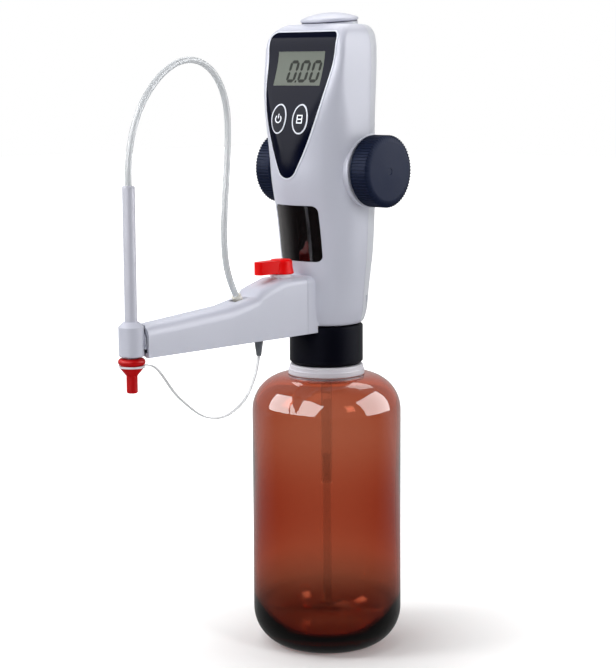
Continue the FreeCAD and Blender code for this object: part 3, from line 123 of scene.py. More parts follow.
# Discharge hose: extruded fluoropolymer tubing, 4 mm across, pushed into the gland in the arm
# and carried in a loop down into the titrating tube. It is smooth, milky and half clear, so it
# looks light in its middle and grey along its edges.
UNDERSIDE = 0.2216
HOSE_RISING = ((86.1, 25.7), (91.4, 34.9), (95.6, 49.0), (96.4, 68.0), (94.8, 90.0),
               (92.6, 110.5), (92.0, 121.0))
HOSE_LOOP = ((92.0, 121.0), (91.4, 131.5), (92.7, 147.0), (97.4, 159.5), (106.0, 169.6),
             (118.5, 175.2), (133.0, 174.4), (146.5, 167.6), (158.0, 157.4), (167.2, 144.6),
             (173.2, 130.0), (176.2, 114.5), (176.4, 103.5), (176.4, 94.5))
HOSE_RADIUS = 0.002
HOSE_SIDES = 24


def tint(code):
    """An sRGB hex colour as the linear numbers that a shader takes."""
    parts = [int(code[i:i + 2], 16) / 255 for i in (1, 3, 5)]
    return (*[c / 12.92 if c <= 0.04045 else ((c + 0.055) / 1.055) ** 2.4 for c in parts], 1.0)


def add(tree, kind, sockets=None, **settings):
    """Add a node, set its settings, and fill its sockets with values or links."""
    made = tree.nodes.new(kind)
    for name, setting in settings.items():
        setattr(made, name, setting)
    for name, given in (sockets or {}).items():
        if isinstance(given, bpy.types.NodeSocket):
            tree.links.new(given, made.inputs[name])
        else:
            made.inputs[name].default_value = given
    return made


def new_finish(name):
    """An empty material and its tree."""
    made = bpy.data.materials.new(name)
    made.use_nodes = True
    made.node_tree.nodes.clear()
    return made, made.node_tree


def moulded(name, code, roughness, grain_mm, depth_mm, blush=0.04, edge_mm=0.0, shine=0.5,
            clearness=0.0, ior=1.5):
    """A moulded or extruded plastic or rubber: fine grain at its real size, a slight
    unevenness of colour, rubbed patches a finger wide and, where asked, softened edges."""
    made, tree = new_finish(name)
    place = add(tree, "ShaderNodeTexCoord").outputs["Object"]
    cloud = add(tree, "ShaderNodeTexNoise", {"Vector": place, "Scale": 40.0, "Detail": 2.0})
    base = tint(code)
    low = (*[c * (1 - blush) for c in base[:3]], 1.0)
    high = (*[min(c * (1 + blush), 1.0) for c in base[:3]], 1.0)
    colour = add(tree, "ShaderNodeMix", {"Factor": cloud.outputs["Fac"], "A": low, "B": high},
                 data_type="RGBA")
    grain = add(tree, "ShaderNodeTexNoise", {"Vector": place, "Scale": 1000.0 / grain_mm,
                                             "Detail": 3.0, "Roughness": 0.6})
    rubbed = add(tree, "ShaderNodeTexNoise", {"Vector": place, "Scale": 70.0, "Detail": 4.0})
    both = add(tree, "ShaderNodeMath", {0: grain.outputs["Fac"], 1: rubbed.outputs["Fac"]})
    rough = add(tree, "ShaderNodeMapRange", {"Value": both.outputs[0], "From Min": 0.6,
                                             "From Max": 1.4, "To Min": roughness * 0.82,
                                             "To Max": roughness * 1.18})
    bump = add(tree, "ShaderNodeBump", {"Height": grain.outputs["Fac"], "Strength": 0.35,
                                        "Distance": depth_mm / 1000})
    if edge_mm:
        softened = add(tree, "ShaderNodeBevel", {"Radius": edge_mm / 1000}, samples=4)
        tree.links.new(softened.outputs["Normal"], bump.inputs["Normal"])
    shader = add(tree, "ShaderNodeBsdfPrincipled", {
        "Base Color": colour.outputs[2], "Roughness": rough.outputs["Result"],
        "Normal": bump.outputs["Normal"], "IOR": ior, "Specular IOR Level": shine,
        "Transmission Weight": clearness})
    add(tree, "ShaderNodeOutputMaterial", {"Surface": shader.outputs["BSDF"]})
    return made


def route_points(name, route):
    """The points of one smooth NURBS line that has the route's points as its controls."""
    line = bpy.data.curves.new(name, "CURVE")
    line.dimensions = "3D"
    line.resolution_u = 10
    spline = line.splines.new("NURBS")
    spline.points.add(len(route) - 1)
    for point, (reach, height) in zip(spline.points, route):
        point.co = (0, -reach / 1000, UNDERSIDE + height / 1000, 1)
    spline.order_u = 3
    spline.use_endpoint_u = True
    holder = bpy.data.objects.new(name, line)
    bpy.context.scene.collection.objects.link(holder)
    bpy.context.view_layer.update()
    mesh = bpy.data.meshes.new_from_object(holder)
    points = [v.co.copy() for v in mesh.vertices]
    bpy.data.objects.remove(holder)
    return points


def new_piece(name, mesh, finish, smooth=True):
    """Show a mesh as a piece at the origin, with one finish."""
    mesh.name = name
    mesh.materials.clear()
    mesh.materials.append(finish)
    mesh.polygons.foreach_set("use_smooth", [smooth] * len(mesh.polygons))
    made = bpy.data.objects.new(name, mesh)
    bpy.context.scene.collection.objects.link(made)
    return made


def closed_piece(name, form, finish, sharp):
    """Finish a bmesh as a piece: normals outwards, smooth between edges sharper than asked."""
    bmesh.ops.recalc_face_normals(form, faces=form.faces)
    mesh = bpy.data.meshes.new(name)
    form.to_mesh(mesh)
    form.free()
    made = new_piece(name, mesh, finish)
    mesh.set_sharp_from_angle(angle=math.radians(sharp))
    return made


def swept(name, points, outline, finish):
    """A closed tube: an outline, as (across, out) pairs, carried along points at x = 0."""
    form = bmesh.new()
    rings = []
    for i, point in enumerate(points):
        way = (points[min(i + 1, len(points) - 1)] - points[max(i - 1, 0)]).normalized()
        out = way.cross(Vector((1, 0, 0)))
        rings.append([form.verts.new(point + Vector((across, 0, 0)) + out * rise)
                      for across, rise in outline])
    count = len(outline)
    for near, far in zip(rings, rings[1:]):
        for k in range(count):
            form.faces.new((near[k], near[(k + 1) % count], far[(k + 1) % count], far[k]))
    form.faces.new(rings[0])
    form.faces.new(rings[-1])
    return closed_piece(name, form, finish, 50)


def free_cord(name, node, route, outline, finish, bodies):
    """One stretch of a cord, which turns smoothly between the two bodies that hold it."""
    points = route_points(name, route)
    cord = swept(name, points, outline, finish)
    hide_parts(node)
    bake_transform(cord, *bodies, start=points[0], end=points[-1])


hose_outline = [(HOSE_RADIUS * math.cos(math.tau * k / HOSE_SIDES),
                 HOSE_RADIUS * math.sin(math.tau * k / HOSE_SIDES)) for k in range(HOSE_SIDES)]
hose_plastic = moulded("extruded_fluoropolymer_hose", "#D9DCDF", 0.22, 9.0, 0.02, blush=0.02,
                       clearness=0.35, ior=1.36)
free_cord("hose_rising", "hose_root", HOSE_RISING, hose_outline, hose_plastic,
          ("instrument", "rail"))
free_cord("hose_loop", "hose_end", HOSE_LOOP, hose_outline, hose_plastic,
          ("rail", "tube"))


# Cap strap: a flat white band, moulded in polyethylene, that keeps the red cap when it is taken
# off. It hangs in one slack bow from the cone under the arm to the ring round the cap, and is
# matt, with slightly rounded edges.
STRAP_FROM_CONE = ((65.6, -15.8), (67.4, -23.8), (71.4, -33.0), (79.5, -44.4), (88.0, -48.3))
STRAP_BOW = ((88.0, -48.3), (96.5, -52.2), (112.0, -50.6), (122.5, -45.6), (131.0, -39.0))
STRAP_TO_CAP = ((131.0, -39.0), (139.5, -32.4), (147.0, -23.4), (154.2, -14.2),
                (160.8, -9.9), (168.2, -9.2))
STRAP_HALF_WIDTH = 0.0011
STRAP_HALF_THICKNESS = 0.0005
STRAP_EDGE = 0.0002
strap_corner = [(STRAP_HALF_WIDTH, STRAP_HALF_THICKNESS - STRAP_EDGE),
                (STRAP_HALF_WIDTH - STRAP_EDGE, STRAP_HALF_THICKNESS)]
strap_outline = strap_corner + [(-x, y) for x, y in reversed(strap_corner)]
strap_outline += [(-x, -y) for x, y in strap_outline]
strap_plastic = moulded("moulded_polyethylene_strap", "#D6D7D9", 0.45, 2.5, 0.01, blush=0.03)
for piece_name, node, route, bodies in (
        ("strap_from_cone", "strap_root", STRAP_FROM_CONE, ("instrument", "rail")),
        ("strap_bow", "strap_middle", STRAP_BOW, ("rail", "tube")),
        ("strap_to_cap", "strap_end", STRAP_TO_CAP, ("tube", "cap"))):
    free_cord(piece_name, node, route, strap_outline, strap_plastic, bodies)


# Bench and studio: a white sweep that the bottle stands on, bright behind the object and dim on
# the camera's side. Softboxes overhead and on both sides give the light, and scrims beside them
# show only as reflections on what is glossy, such as the bottle's shoulder. Seen straight or
# through glass the sweep glows white, and less so near the bottle: a painted shade round its
# foot, which joins the shadow that the lamps cast there.
FLOOR_HALF = 6.0
# Painted shade: the least glow of the sweep, near the bottle's foot, so that a dark patch lies round the
# foot under any lamp.
PAINTED_SHADE_GLOW = 0.12
THROUGH_GLASS = 0.6
MIRRORED_WORLD = 0.6
WHITE = (1, 1, 1, 1)
AWAY_FROM_CAMERA = (-math.sin(SIGHT_AZIMUTH), math.cos(SIGHT_AZIMUTH), 0)


def share(tree, first, second, operation):
    """Join two numbers of a shader by one operation."""
    return add(tree, "ShaderNodeMath", {0: first, 1: second}, operation=operation).outputs[0]


def seen_plainly(tree, rays):
    """One for rays from the camera and for rays that came through glass, else nought."""
    return share(tree, rays.outputs["Is Camera Ray"], rays.outputs["Is Transmission Ray"],
                 "MAXIMUM")


def depth_behind(tree, place):
    """How far a place or direction lies behind the object, as the camera sees it."""
    return add(tree, "ShaderNodeVectorMath", {0: place, 1: AWAY_FROM_CAMERA},
               operation="DOT_PRODUCT").outputs["Value"]


bench_white, tree = new_finish("white_studio_sweep")
rays = add(tree, "ShaderNodeLightPath")
place = add(tree, "ShaderNodeTexCoord").outputs["Object"]
lit = add(tree, "ShaderNodeMapRange", {"Value": depth_behind(tree, place), "From Min": -0.1,
                                       "From Max": 0.4, "To Min": 0.03, "To Max": 0.6})
away = add(tree, "ShaderNodeVectorMath", {0: place}, operation="LENGTH")
# Painted shade round the bottle's foot: the sweep's glow rises from its least near the foot to full white
# further out.
glow_with_painted_shade = add(tree, "ShaderNodeMapRange", {"Value": away.outputs["Value"], "From Min": 0.06,
                                            "From Max": 0.3, "To Min": PAINTED_SHADE_GLOW,
                                            "To Max": 1.0}).outputs["Result"]
paint = add(tree, "ShaderNodeBsdfDiffuse", {"Color": tint("#DEDEDE")})
glow = add(tree, "ShaderNodeEmission", {"Color": WHITE, "Strength": share(
    tree, glow_with_painted_shade, seen_plainly(tree, rays), "MULTIPLY")})
whole = add(tree, "ShaderNodeAddShader", {0: paint.outputs[0], 1: glow.outputs[0]})
dulled = add(tree, "ShaderNodeMix", {
    "Factor": rays.outputs["Is Transmission Ray"], "A": lit.outputs["Result"],
    "B": share(tree, glow_with_painted_shade, THROUGH_GLASS, "MULTIPLY")}, data_type="FLOAT")
mirrored = add(tree, "ShaderNodeEmission", {"Color": WHITE, "Strength": dulled.outputs[0]})
bench = add(tree, "ShaderNodeMixShader", {0: rays.outputs["Is Glossy Ray"],
                                          1: whole.outputs[0], 2: mirrored.outputs[0]})
add(tree, "ShaderNodeOutputMaterial", {"Surface": bench.outputs[0]})
corners = [(-FLOOR_HALF, -FLOOR_HALF, 0), (FLOOR_HALF, -FLOOR_HALF, 0),
           (FLOOR_HALF, FLOOR_HALF, 0), (-FLOOR_HALF, FLOOR_HALF, 0)]
floor_mesh = bpy.data.meshes.new("bench")
floor_mesh.from_pydata(corners, [], [(0, 1, 2, 3)])
new_piece("bench", floor_mesh, bench_white, smooth=False)

studio = bpy.data.worlds.new("studio")
bpy.context.scene.world = studio
studio.use_nodes = True
tree = studio.node_tree
tree.nodes.clear()
rays = add(tree, "ShaderNodeLightPath")
towards = add(tree, "ShaderNodeTexCoord").outputs["Generated"]
brightness = add(tree, "ShaderNodeMapRange", {
    "Value": depth_behind(tree, towards), "From Min": -0.05, "From Max": 0.35, "To Min": 0.14,
    "To Max": 0.9}, interpolation_type="SMOOTHSTEP")
dimmed = add(tree, "ShaderNodeMapRange", {"Value": rays.outputs["Is Glossy Ray"],
                                          "To Min": 1.0, "To Max": MIRRORED_WORLD})
air = add(tree, "ShaderNodeBackground", {"Color": WHITE, "Strength": share(
    tree, brightness.outputs["Result"], dimmed.outputs["Result"], "MULTIPLY")})
backdrop = add(tree, "ShaderNodeBackground", {"Color": WHITE, "Strength": 1.0})
chosen = add(tree, "ShaderNodeMixShader", {0: seen_plainly(tree, rays), 1: air.outputs[0],
                                           2: backdrop.outputs[0]})
add(tree, "ShaderNodeOutputWorld", {"Surface": chosen.outputs[0]})


def softbox(name, place, aim, width, height, watts, glossy_only=False):
    """A rectangular softbox that faces a point, or only its picture in glossy surfaces."""
    lamp = bpy.data.lights.new(name, "AREA")
    lamp.shape = "RECTANGLE"
    lamp.size = width
    lamp.size_y = height
    lamp.energy = watts
    made = bpy.data.objects.new(name, lamp)
    bpy.context.scene.collection.objects.link(made)
    made.location = place
    made.rotation_euler = (Vector(aim) - Vector(place)).to_track_quat("-Z", "Y").to_euler()
    made.visible_camera = False
    made.visible_glossy = glossy_only
    made.visible_diffuse = not glossy_only
    made.visible_transmission = not glossy_only


softbox("overhead_softbox", (-0.2, -0.5, 1.7), (0, 0, 0.3), 1.2, 1.2, 12.0)
softbox("left_softbox", (-0.75, -1.2, 1.15), (0, 0, 0.2), 0.5, 0.7, 12.0)
softbox("right_softbox", (1.5, -0.2, 0.95), (0, 0, 0.2), 0.4, 0.6, 9.0)
softbox("left_scrim", (-0.32, -1.09, 0.82), (0, 0, 0.18), 2.4, 1.1, 80.0, True)
softbox("right_scrim", (0.93, 0.77, 0.66), (0, 0, 0.18), 1.3, 1.1, 36.0, True)
softbox("top_scrim", (-0.35, 0.63, 1.25), (0, 0, 0.2), 1.2, 0.5, 7.0, True)


# Reagent bottle: blown amber soda-lime glass, one litre, thinner under the shoulder and near
# the heel, and thick in the foot. Iron and sulphur in the melt colour it, so it is orange where
# the wall is thin, deep red-brown at its middle and black through the foot.
BOTTLE_RADIUS = 0.05047
BOTTLE_WALL = 0.0031
WALL_SWING = 0.0006
WALL_MIDDLE = 0.092
WALL_SPACING = 0.11
FOOT_RADIUS = 0.033
FOOT_RISE = 0.025
FOOT_ROUND = 0.0266
HEEL_INSIDE = ((0.0466, 0.024), (0.0440, 0.0175), (0.0398, 0.0128), (0.034, 0.0100),
               (0.026, 0.0088), (0.012, 0.0092), (0, 0.0096))
SHOULDER_TOP = 0.1865
SHOULDER_ROUND = 0.0246
NECK_RADIUS = 0.020
NECK_WALL = 0.0036
MOUTH_HEIGHT = 0.217
LIP = 0.0005
TURNS_ROUND = 128


def arc(start, end, radius, side, steps):
    """Points of an arc from start to end, not counting start; side is 1 or -1."""
    start, end = Vector(start), Vector(end)
    chord = end - start
    inward = Vector((-chord.y, chord.x)).normalized() * side
    centre = (start + end) / 2 + inward * math.sqrt(
        max(radius ** 2 - chord.length_squared / 4, 0))
    first = math.atan2(*(start - centre).yx)
    last = math.atan2(*(end - centre).yx)
    sweep = (last - first + math.pi) % math.tau - math.pi
    return [tuple(centre + Vector((math.cos(first + sweep * i / steps),
                                   math.sin(first + sweep * i / steps))) * radius)
            for i in range(1, steps + 1)]


def lathe(profile):
    """A turned form: (radius, height) points carried round the Z axis."""
    form = bmesh.new()
    rings = []
    for radius, height in profile:
        count = TURNS_ROUND if radius > 1e-6 else 1
        rings.append([form.verts.new((radius * math.cos(math.tau * k / TURNS_ROUND),
                                      radius * math.sin(math.tau * k / TURNS_ROUND), height))
                      for k in range(count)])
    for low, high in zip(rings, rings[1:]):
        for k in range(TURNS_ROUND):
            after = (k + 1) % TURNS_ROUND
            if len(low) == 1:
                form.faces.new((low[0], high[after], high[k]))
            elif len(high) == 1:
                form.faces.new((low[k], low[after], high[0]))
            else:
                form.faces.new((low[k], low[after], high[after], high[k]))
    return form


def inside_wall(height):
    """The inside of the blown wall at a height, where the glass flowed thicker or thinner."""
    swing = WALL_SWING * math.cos(math.tau * (height - WALL_MIDDLE) / WALL_SPACING)
    return BOTTLE_RADIUS - BOTTLE_WALL - swing, height


amber_glass, tree = new_finish("blown_amber_glass")
place = add(tree, "ShaderNodeTexCoord").outputs["Object"]
drawn = add(tree, "ShaderNodeMapping", {"Vector": place, "Scale": (1.0, 1.0, 0.4)})
ripple = add(tree, "ShaderNodeTexNoise", {"Vector": drawn.outputs["Vector"], "Scale": 18.0,
                                          "Detail": 1.0})
bump = add(tree, "ShaderNodeBump", {"Height": ripple.outputs["Fac"], "Strength": 0.1,
                                    "Distance": 0.0008})
worn = add(tree, "ShaderNodeMapRange", {"Value": ripple.outputs["Fac"], "To Min": 0.015,
                                        "To Max": 0.035})
shader = add(tree, "ShaderNodeBsdfPrincipled", {
    "Base Color": tint("#FFF4E8"), "Roughness": worn.outputs["Result"], "IOR": 1.52,
    "Transmission Weight": 1.0, "Normal": bump.outputs["Normal"]})
soak = add(tree, "ShaderNodeVolumeAbsorption", {"Color": tint("#E48E4C"), "Density": 440.0})
add(tree, "ShaderNodeOutputMaterial", {"Surface": shader.outputs["BSDF"],
                                       "Volume": soak.outputs["Volume"]})
shoulder_start = SHOULDER_TOP - SHOULDER_ROUND
shoulder_edge = BOTTLE_RADIUS - SHOULDER_ROUND
inner_neck = NECK_RADIUS - NECK_WALL
inner_start = inside_wall(shoulder_start)
thin = BOTTLE_RADIUS - inner_start[0]
bottle_profile = [(0, 0.0022), (FOOT_RADIUS * 0.7, 0.0016), (FOOT_RADIUS * 0.9, 0),
                  (FOOT_RADIUS, 0)]
bottle_profile += arc((FOOT_RADIUS, 0), (BOTTLE_RADIUS, FOOT_RISE), FOOT_ROUND, 1, 16)
bottle_profile += [(BOTTLE_RADIUS, z) for z in (0.06, 0.11, shoulder_start)]
bottle_profile += arc((BOTTLE_RADIUS, shoulder_start), (shoulder_edge, SHOULDER_TOP),
                      SHOULDER_ROUND, 1, 18)
bottle_profile += [(NECK_RADIUS + 0.0015, SHOULDER_TOP), (NECK_RADIUS, SHOULDER_TOP + 0.0015),
                   (NECK_RADIUS, MOUTH_HEIGHT - LIP), (NECK_RADIUS - LIP, MOUTH_HEIGHT),
                   (inner_neck + LIP, MOUTH_HEIGHT), (inner_neck, MOUTH_HEIGHT - LIP),
                   (inner_neck, SHOULDER_TOP - 0.0015),
                   (inner_neck + 0.002, SHOULDER_TOP - thin), (shoulder_edge, SHOULDER_TOP - thin)]
bottle_profile += arc((shoulder_edge, SHOULDER_TOP - thin), inner_start,
                      SHOULDER_ROUND - thin, -1, 18)
bottle_profile += [inside_wall(shoulder_start + (FOOT_RISE + 0.006 - shoulder_start) * i / 30)
                   for i in range(1, 31)]
bottle_profile += HEEL_INSIDE
bottle = closed_piece("amber_bottle", lathe(bottle_profile), amber_glass, 40)
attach(bottle, "stand")
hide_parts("bottle")

# The neck's screw thread is one bead of glass pressed in the mould, two turns of 4 mm pitch.
THREAD_PITCH = 0.004
THREAD_TURNS = 2.0
THREAD_BEAD = 0.0010
THREAD_LOW = 0.2022


def tree_with(name, **inputs):
    """An empty Geometry Nodes tree with its named inputs, a geometry first."""
    made = bpy.data.node_groups.new(name, "GeometryNodeTree")
    made.interface.new_socket("Geometry", in_out="OUTPUT",
                              socket_type="NodeSocketGeometry")
    made.interface.new_socket("Geometry", in_out="INPUT", socket_type="NodeSocketGeometry")
    for title, kind in inputs.items():
        made.interface.new_socket(title, in_out="INPUT", socket_type="NodeSocket" + kind)
    return made, add(made, "NodeGroupInput").outputs


def grown(name, tree, start, **inputs):
    """Run a tree on a start mesh with its inputs set, and give the result as a plain mesh."""
    holder = bpy.data.objects.new(name, start)
    bpy.context.scene.collection.objects.link(holder)
    modifier = holder.modifiers.new(name, "NODES")
    modifier.node_group = tree
    for item in tree.interface.items_tree:
        if item.in_out == "INPUT" and item.name in inputs:
            modifier[item.identifier] = inputs[item.name]
    result = holder.evaluated_get(bpy.context.evaluated_depsgraph_get())
    mesh = bpy.data.meshes.new_from_object(result)
    holder.modifiers.clear()
    bpy.data.objects.remove(holder)
    return mesh


tree, given = tree_with("glass_thread", turns="Float", radius="Float", height="Float",
                        bead="Float", finish="Material")
helix = add(tree, "GeometryNodeCurveSpiral", {
    "Resolution": 48, "Rotations": given["turns"], "Start Radius": given["radius"],
    "End Radius": given["radius"], "Height": given["height"]})
bead = add(tree, "GeometryNodeCurvePrimitiveCircle", {"Resolution": 12,
                                                      "Radius": given["bead"]})
run = add(tree, "GeometryNodeCurveToMesh", {"Curve": helix.outputs["Curve"],
                                            "Profile Curve": bead.outputs["Curve"],
                                            "Fill Caps": True})
solid = add(tree, "GeometryNodeRealizeInstances", {"Geometry": run.outputs["Mesh"]})
painted = add(tree, "GeometryNodeSetMaterial", {"Geometry": solid.outputs["Geometry"],
                                                "Material": given["finish"]})
add(tree, "NodeGroupOutput", {"Geometry": painted.outputs["Geometry"]})
thread_mesh = grown("glass_thread", tree, bpy.data.meshes.new("thread_start"),
                    turns=THREAD_TURNS, radius=NECK_RADIUS + THREAD_BEAD * 0.8,
                    height=THREAD_TURNS * THREAD_PITCH, bead=THREAD_BEAD, finish=amber_glass)
thread_mesh.transform(Matrix.Translation((0, 0, THREAD_LOW)))
thread = new_piece("neck_thread", thread_mesh, amber_glass)
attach(thread, "stand")


# Pouring ring: a white polypropylene ring in two steps, snapped over the thread onto the
# shoulder so that drips run off the bottle. Satin, with a fine moulded grain.
def kept_form(node, name, finish, sharp=32.0):
    """A merged, smoothly shaded copy of a CAD node, which then stands for it."""
    form = bmesh.new()
    form.from_mesh(frame["nodes"][node].data)
    bmesh.ops.remove_doubles(form, verts=form.verts, dist=1e-6)
    mesh = bpy.data.meshes.new(name)
    form.to_mesh(mesh)
    form.free()
    for layer in [a for a in mesh.attributes if a.name == "custom_normal"]:
        mesh.attributes.remove(layer)
    made = new_piece(name, mesh, finish)
    mesh.set_sharp_from_angle(angle=math.radians(sharp))
    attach(made, body_of(frame["nodes"][node])[0])
    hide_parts(node)
    return made


ring_plastic = moulded("moulded_polypropylene_ring", "#DDDBE3", 0.36, 1.0, 0.02, edge_mm=0.25)
kept_form("pouring_ring", "drip_ring", ring_plastic)


# Collar: glass-filled polyamide, moulded near-black, screwed over the bottle's thread. The
# silicone seal lies on the mouth inside it, and a spring-steel hoop keeps the instrument on
# its bearing sleeve. Smooth, with a low shine.
def machined(name, code, roughness, line_mm, across):
    """A turned or drawn metal: fine lines that run square to one axis, at their real spacing."""
    made, tree = new_finish(name)
    place = add(tree, "ShaderNodeTexCoord").outputs["Object"]
    stretch = [0.02, 0.02, 0.02]
    stretch["XYZ".index(across)] = 1.0
    drawn = add(tree, "ShaderNodeMapping", {"Vector": place, "Scale": stretch})
    lines = add(tree, "ShaderNodeTexNoise", {"Vector": drawn.outputs["Vector"],
                                             "Scale": 1000.0 / line_mm, "Detail": 4.0})
    rough = add(tree, "ShaderNodeMapRange", {"Value": lines.outputs["Fac"],
                                             "To Min": roughness * 0.6,
                                             "To Max": roughness * 1.4})
    bump = add(tree, "ShaderNodeBump", {"Height": lines.outputs["Fac"], "Strength": 0.2,
                                        "Distance": 0.00002})
    shader = add(tree, "ShaderNodeBsdfPrincipled", {
        "Base Color": tint(code), "Metallic": 1.0, "Roughness": rough.outputs["Result"],
        "Normal": bump.outputs["Normal"]})
    add(tree, "ShaderNodeOutputMaterial", {"Surface": shader.outputs["BSDF"]})
    return made


collar_plastic = moulded("moulded_polyamide_collar", "#040510", 0.42, 0.8, 0.02, blush=0.15,
                         edge_mm=0.3, shine=0.05)
kept_form("thread_collar", "collar", collar_plastic)
silicone = moulded("moulded_silicone_seal", "#C9C5BC", 0.6, 0.7, 0.02)
kept_form("mouth_seal", "bottle_seal", silicone)
spring_steel = machined("rolled_spring_steel", "#B9BBBE", 0.3, 0.2, "Z")
kept_form("base_clip", "retaining_hoop", spring_steel)


# Filling tube and inlet valve: two sliding lengths of extruded fluoropolymer, cut slanting at
# the bottom, and a polypropylene plug with a ground ceramic ball. The tubes are thin and almost
# clear, the plug and the ball whitish.
tube_plastic = moulded("extruded_fluoropolymer_tube", "#F2F4F5", 0.06, 8.0, 0.01,
                       shine=0.2, clearness=1.0, ior=1.1)
kept_form("filling_tube_upper", "filling_tube_fixed", tube_plastic)
kept_form("filling_tube_lower", "filling_tube_sliding", tube_plastic)
natural_plastic = moulded("natural_polypropylene", "#DCD9CF", 0.42, 1.2, 0.02, edge_mm=0.2)
kept_form("inlet_valve", "inlet_plug", natural_plastic)
kept_form("inlet_ball", "valve_ball", moulded("ground_ceramic_ball", "#EAE7DD", 0.12, 0.3, 0.001))


# Valve block and measuring cylinder: a machined fluoropolymer block, a precision borosilicate
# barrel seated in it, and the moulded head that closes the barrel. Waxy white round clear glass.
block_plastic = moulded("machined_fluoropolymer", "#E4E3DC", 0.4, 0.4, 0.015, edge_mm=0.2)
kept_form("valve_block", "passage_block", block_plastic)
clear_glass, tree = new_finish("drawn_borosilicate_glass")
place = add(tree, "ShaderNodeTexCoord").outputs["Object"]
drawn = add(tree, "ShaderNodeMapping", {"Vector": place, "Scale": (1.0, 1.0, 0.1)})
lines = add(tree, "ShaderNodeTexNoise", {"Vector": drawn.outputs["Vector"], "Scale": 200.0})
worn = add(tree, "ShaderNodeMapRange", {"Value": lines.outputs["Fac"], "To Min": 0.01,
                                        "To Max": 0.04})
shader = add(tree, "ShaderNodeBsdfPrincipled", {
    "Base Color": tint("#F2F7F5"), "Roughness": worn.outputs["Result"], "IOR": 1.47,
    "Transmission Weight": 1.0})
add(tree, "ShaderNodeOutputMaterial", {"Surface": shader.outputs["BSDF"]})
kept_form("glass_cylinder", "measuring_barrel", clear_glass)
kept_form("cylinder_head", "barrel_head", natural_plastic)


# Piston: a fluoropolymer plunger with two silicone rings, moved by a toothed acetal rod. The
# plunger is turned and has the valve block's finish; the rod is moulded acetal.
kept_form("piston", "plunger", block_plastic)
kept_form("piston_seals", "plunger_rings", silicone)
acetal = moulded("moulded_acetal", "#D9D6C9", 0.34, 0.9, 0.01, edge_mm=0.1)
kept_form("piston_rack", "toothed_rod", acetal, 25)


# Drive: the ground steel wheel shaft and its hobbed pinion turn a moulded acetal gear, whose
# steel pinion lifts the rod. An acetal frame carries both shafts, and a slotted black disc
# tells the board how far they turned.
kept_form("drive_frame", "gear_frame", acetal)
shaft_steel = machined("ground_stainless_shaft", "#C4C6C8", 0.22, 0.15, "X")
kept_form("wheel_shaft", "hand_shaft", shaft_steel)
kept_form("drive_pinion", "hand_pinion", shaft_steel, 25)
kept_form("reduction_gear", "acetal_gear", acetal, 25)
kept_form("rack_pinion", "rod_pinion", shaft_steel, 25)
disc_plastic = moulded("printed_film_disc", "#111214", 0.3, 2.0, 0.005, blush=0.1)
kept_form("encoder_disc", "slotted_disc", disc_plastic)


# Circuit board, display and cells: green solder mask over copper tracks on glass-epoxy, a grey
# display module behind the lens, and two steel-cased cells in a black moulded tray.
board_green, tree = new_finish("solder_masked_board")
place = add(tree, "ShaderNodeTexCoord").outputs["Object"]
tracks = add(tree, "ShaderNodeTexBrick", {
    "Vector": place, "Color1": tint("#0E5A36"), "Color2": tint("#0C4F30"),
    "Mortar": tint("#2B8A58"), "Scale": 160.0, "Mortar Size": 0.06})
raised = add(tree, "ShaderNodeBump", {"Height": tracks.outputs["Fac"], "Strength": 0.3,
                                      "Distance": 0.00004})
shader = add(tree, "ShaderNodeBsdfPrincipled", {
    "Base Color": tracks.outputs["Color"], "Roughness": 0.3, "Normal": raised.outputs["Normal"]})
add(tree, "ShaderNodeOutputMaterial", {"Surface": shader.outputs["BSDF"]})
kept_form("circuit_board", "green_board", board_green)
module_grey = moulded("display_module_case", "#55584F", 0.5, 0.8, 0.01)
kept_form("display_module", "display_case", module_grey)
tray_plastic = moulded("moulded_black_tray", "#16171A", 0.45, 0.9, 0.02, blush=0.1, edge_mm=0.2)
kept_form("battery_tray", "cell_tray", tray_plastic)
cell_case = machined("nickel_plated_cell", "#C9C8BE", 0.25, 0.25, "X")
kept_form("batteries", "cell_pair", cell_case)


# Housing: two injection-moulded ABS shells in a cool pale grey, split at the wheel shaft and
# drawn together from behind by four screws. Satin, spark-eroded grain, softly rounded edges.
housing_plastic = moulded("moulded_abs_housing", "#C3C5D2", 0.36, 0.7, 0.02, blush=0.012,
                          edge_mm=0.4, shine=0.25)
kept_form("front_shell", "front_housing", housing_plastic)
rear_plastic = moulded("moulded_abs_rear_cover", "#CBCED6", 0.38, 0.7, 0.02, blush=0.012,
                       edge_mm=0.4)
kept_form("rear_cover", "rear_housing", rear_plastic)
kept_form("swivel_bush", "bearing_bush", natural_plastic)

# The screws are pan heads with a six-lobed socket.
SCREW_HEAD = 0.0026
SCREW_SHANK = 0.0014
SCREW_SIDES = 48
LOBES = 6
LOBE_DEPTH = 0.13
LOWER_SCREWS_INWARD = 0.0017
screw_steel = machined("zinc_plated_screw", "#AEB2B6", 0.32, 0.1, "Y")


def screw_form():
    """One screw along Y, its head's top at zero: rings of (radius, depth, lobed or round)."""
    rings = ((0.0, 0.0012, True), (0.0011, 0.0012, True), (0.0012, 0.0, True),
             (SCREW_HEAD - 0.0005, 0.0, False), (SCREW_HEAD, 0.0005, False),
             (SCREW_HEAD, 0.0019, False), (SCREW_SHANK, 0.0020, False),
             (SCREW_SHANK, 0.0138, False), (0.0006, 0.0148, False), (0.0, 0.0148, False))
    form = bmesh.new()
    loops = []
    for radius, depth, lobed in rings:
        loop = []
        for k in range(SCREW_SIDES if radius else 1):
            turn = math.tau * k / SCREW_SIDES
            reach = radius * (1 + LOBE_DEPTH * math.cos(LOBES * turn)) if lobed else radius
            loop.append(form.verts.new((reach * math.cos(turn), -depth, reach * math.sin(turn))))
        loops.append(loop)
    for near, far in zip(loops, loops[1:]):
        for k in range(SCREW_SIDES):
            after = (k + 1) % SCREW_SIDES
            if len(near) == 1:
                form.faces.new((near[0], far[k], far[after]))
            elif len(far) == 1:
                form.faces.new((near[k], far[0], near[after]))
            else:
                form.faces.new((near[k], far[k], far[after], near[after]))
    return closed_piece("screw", form, screw_steel, 35)


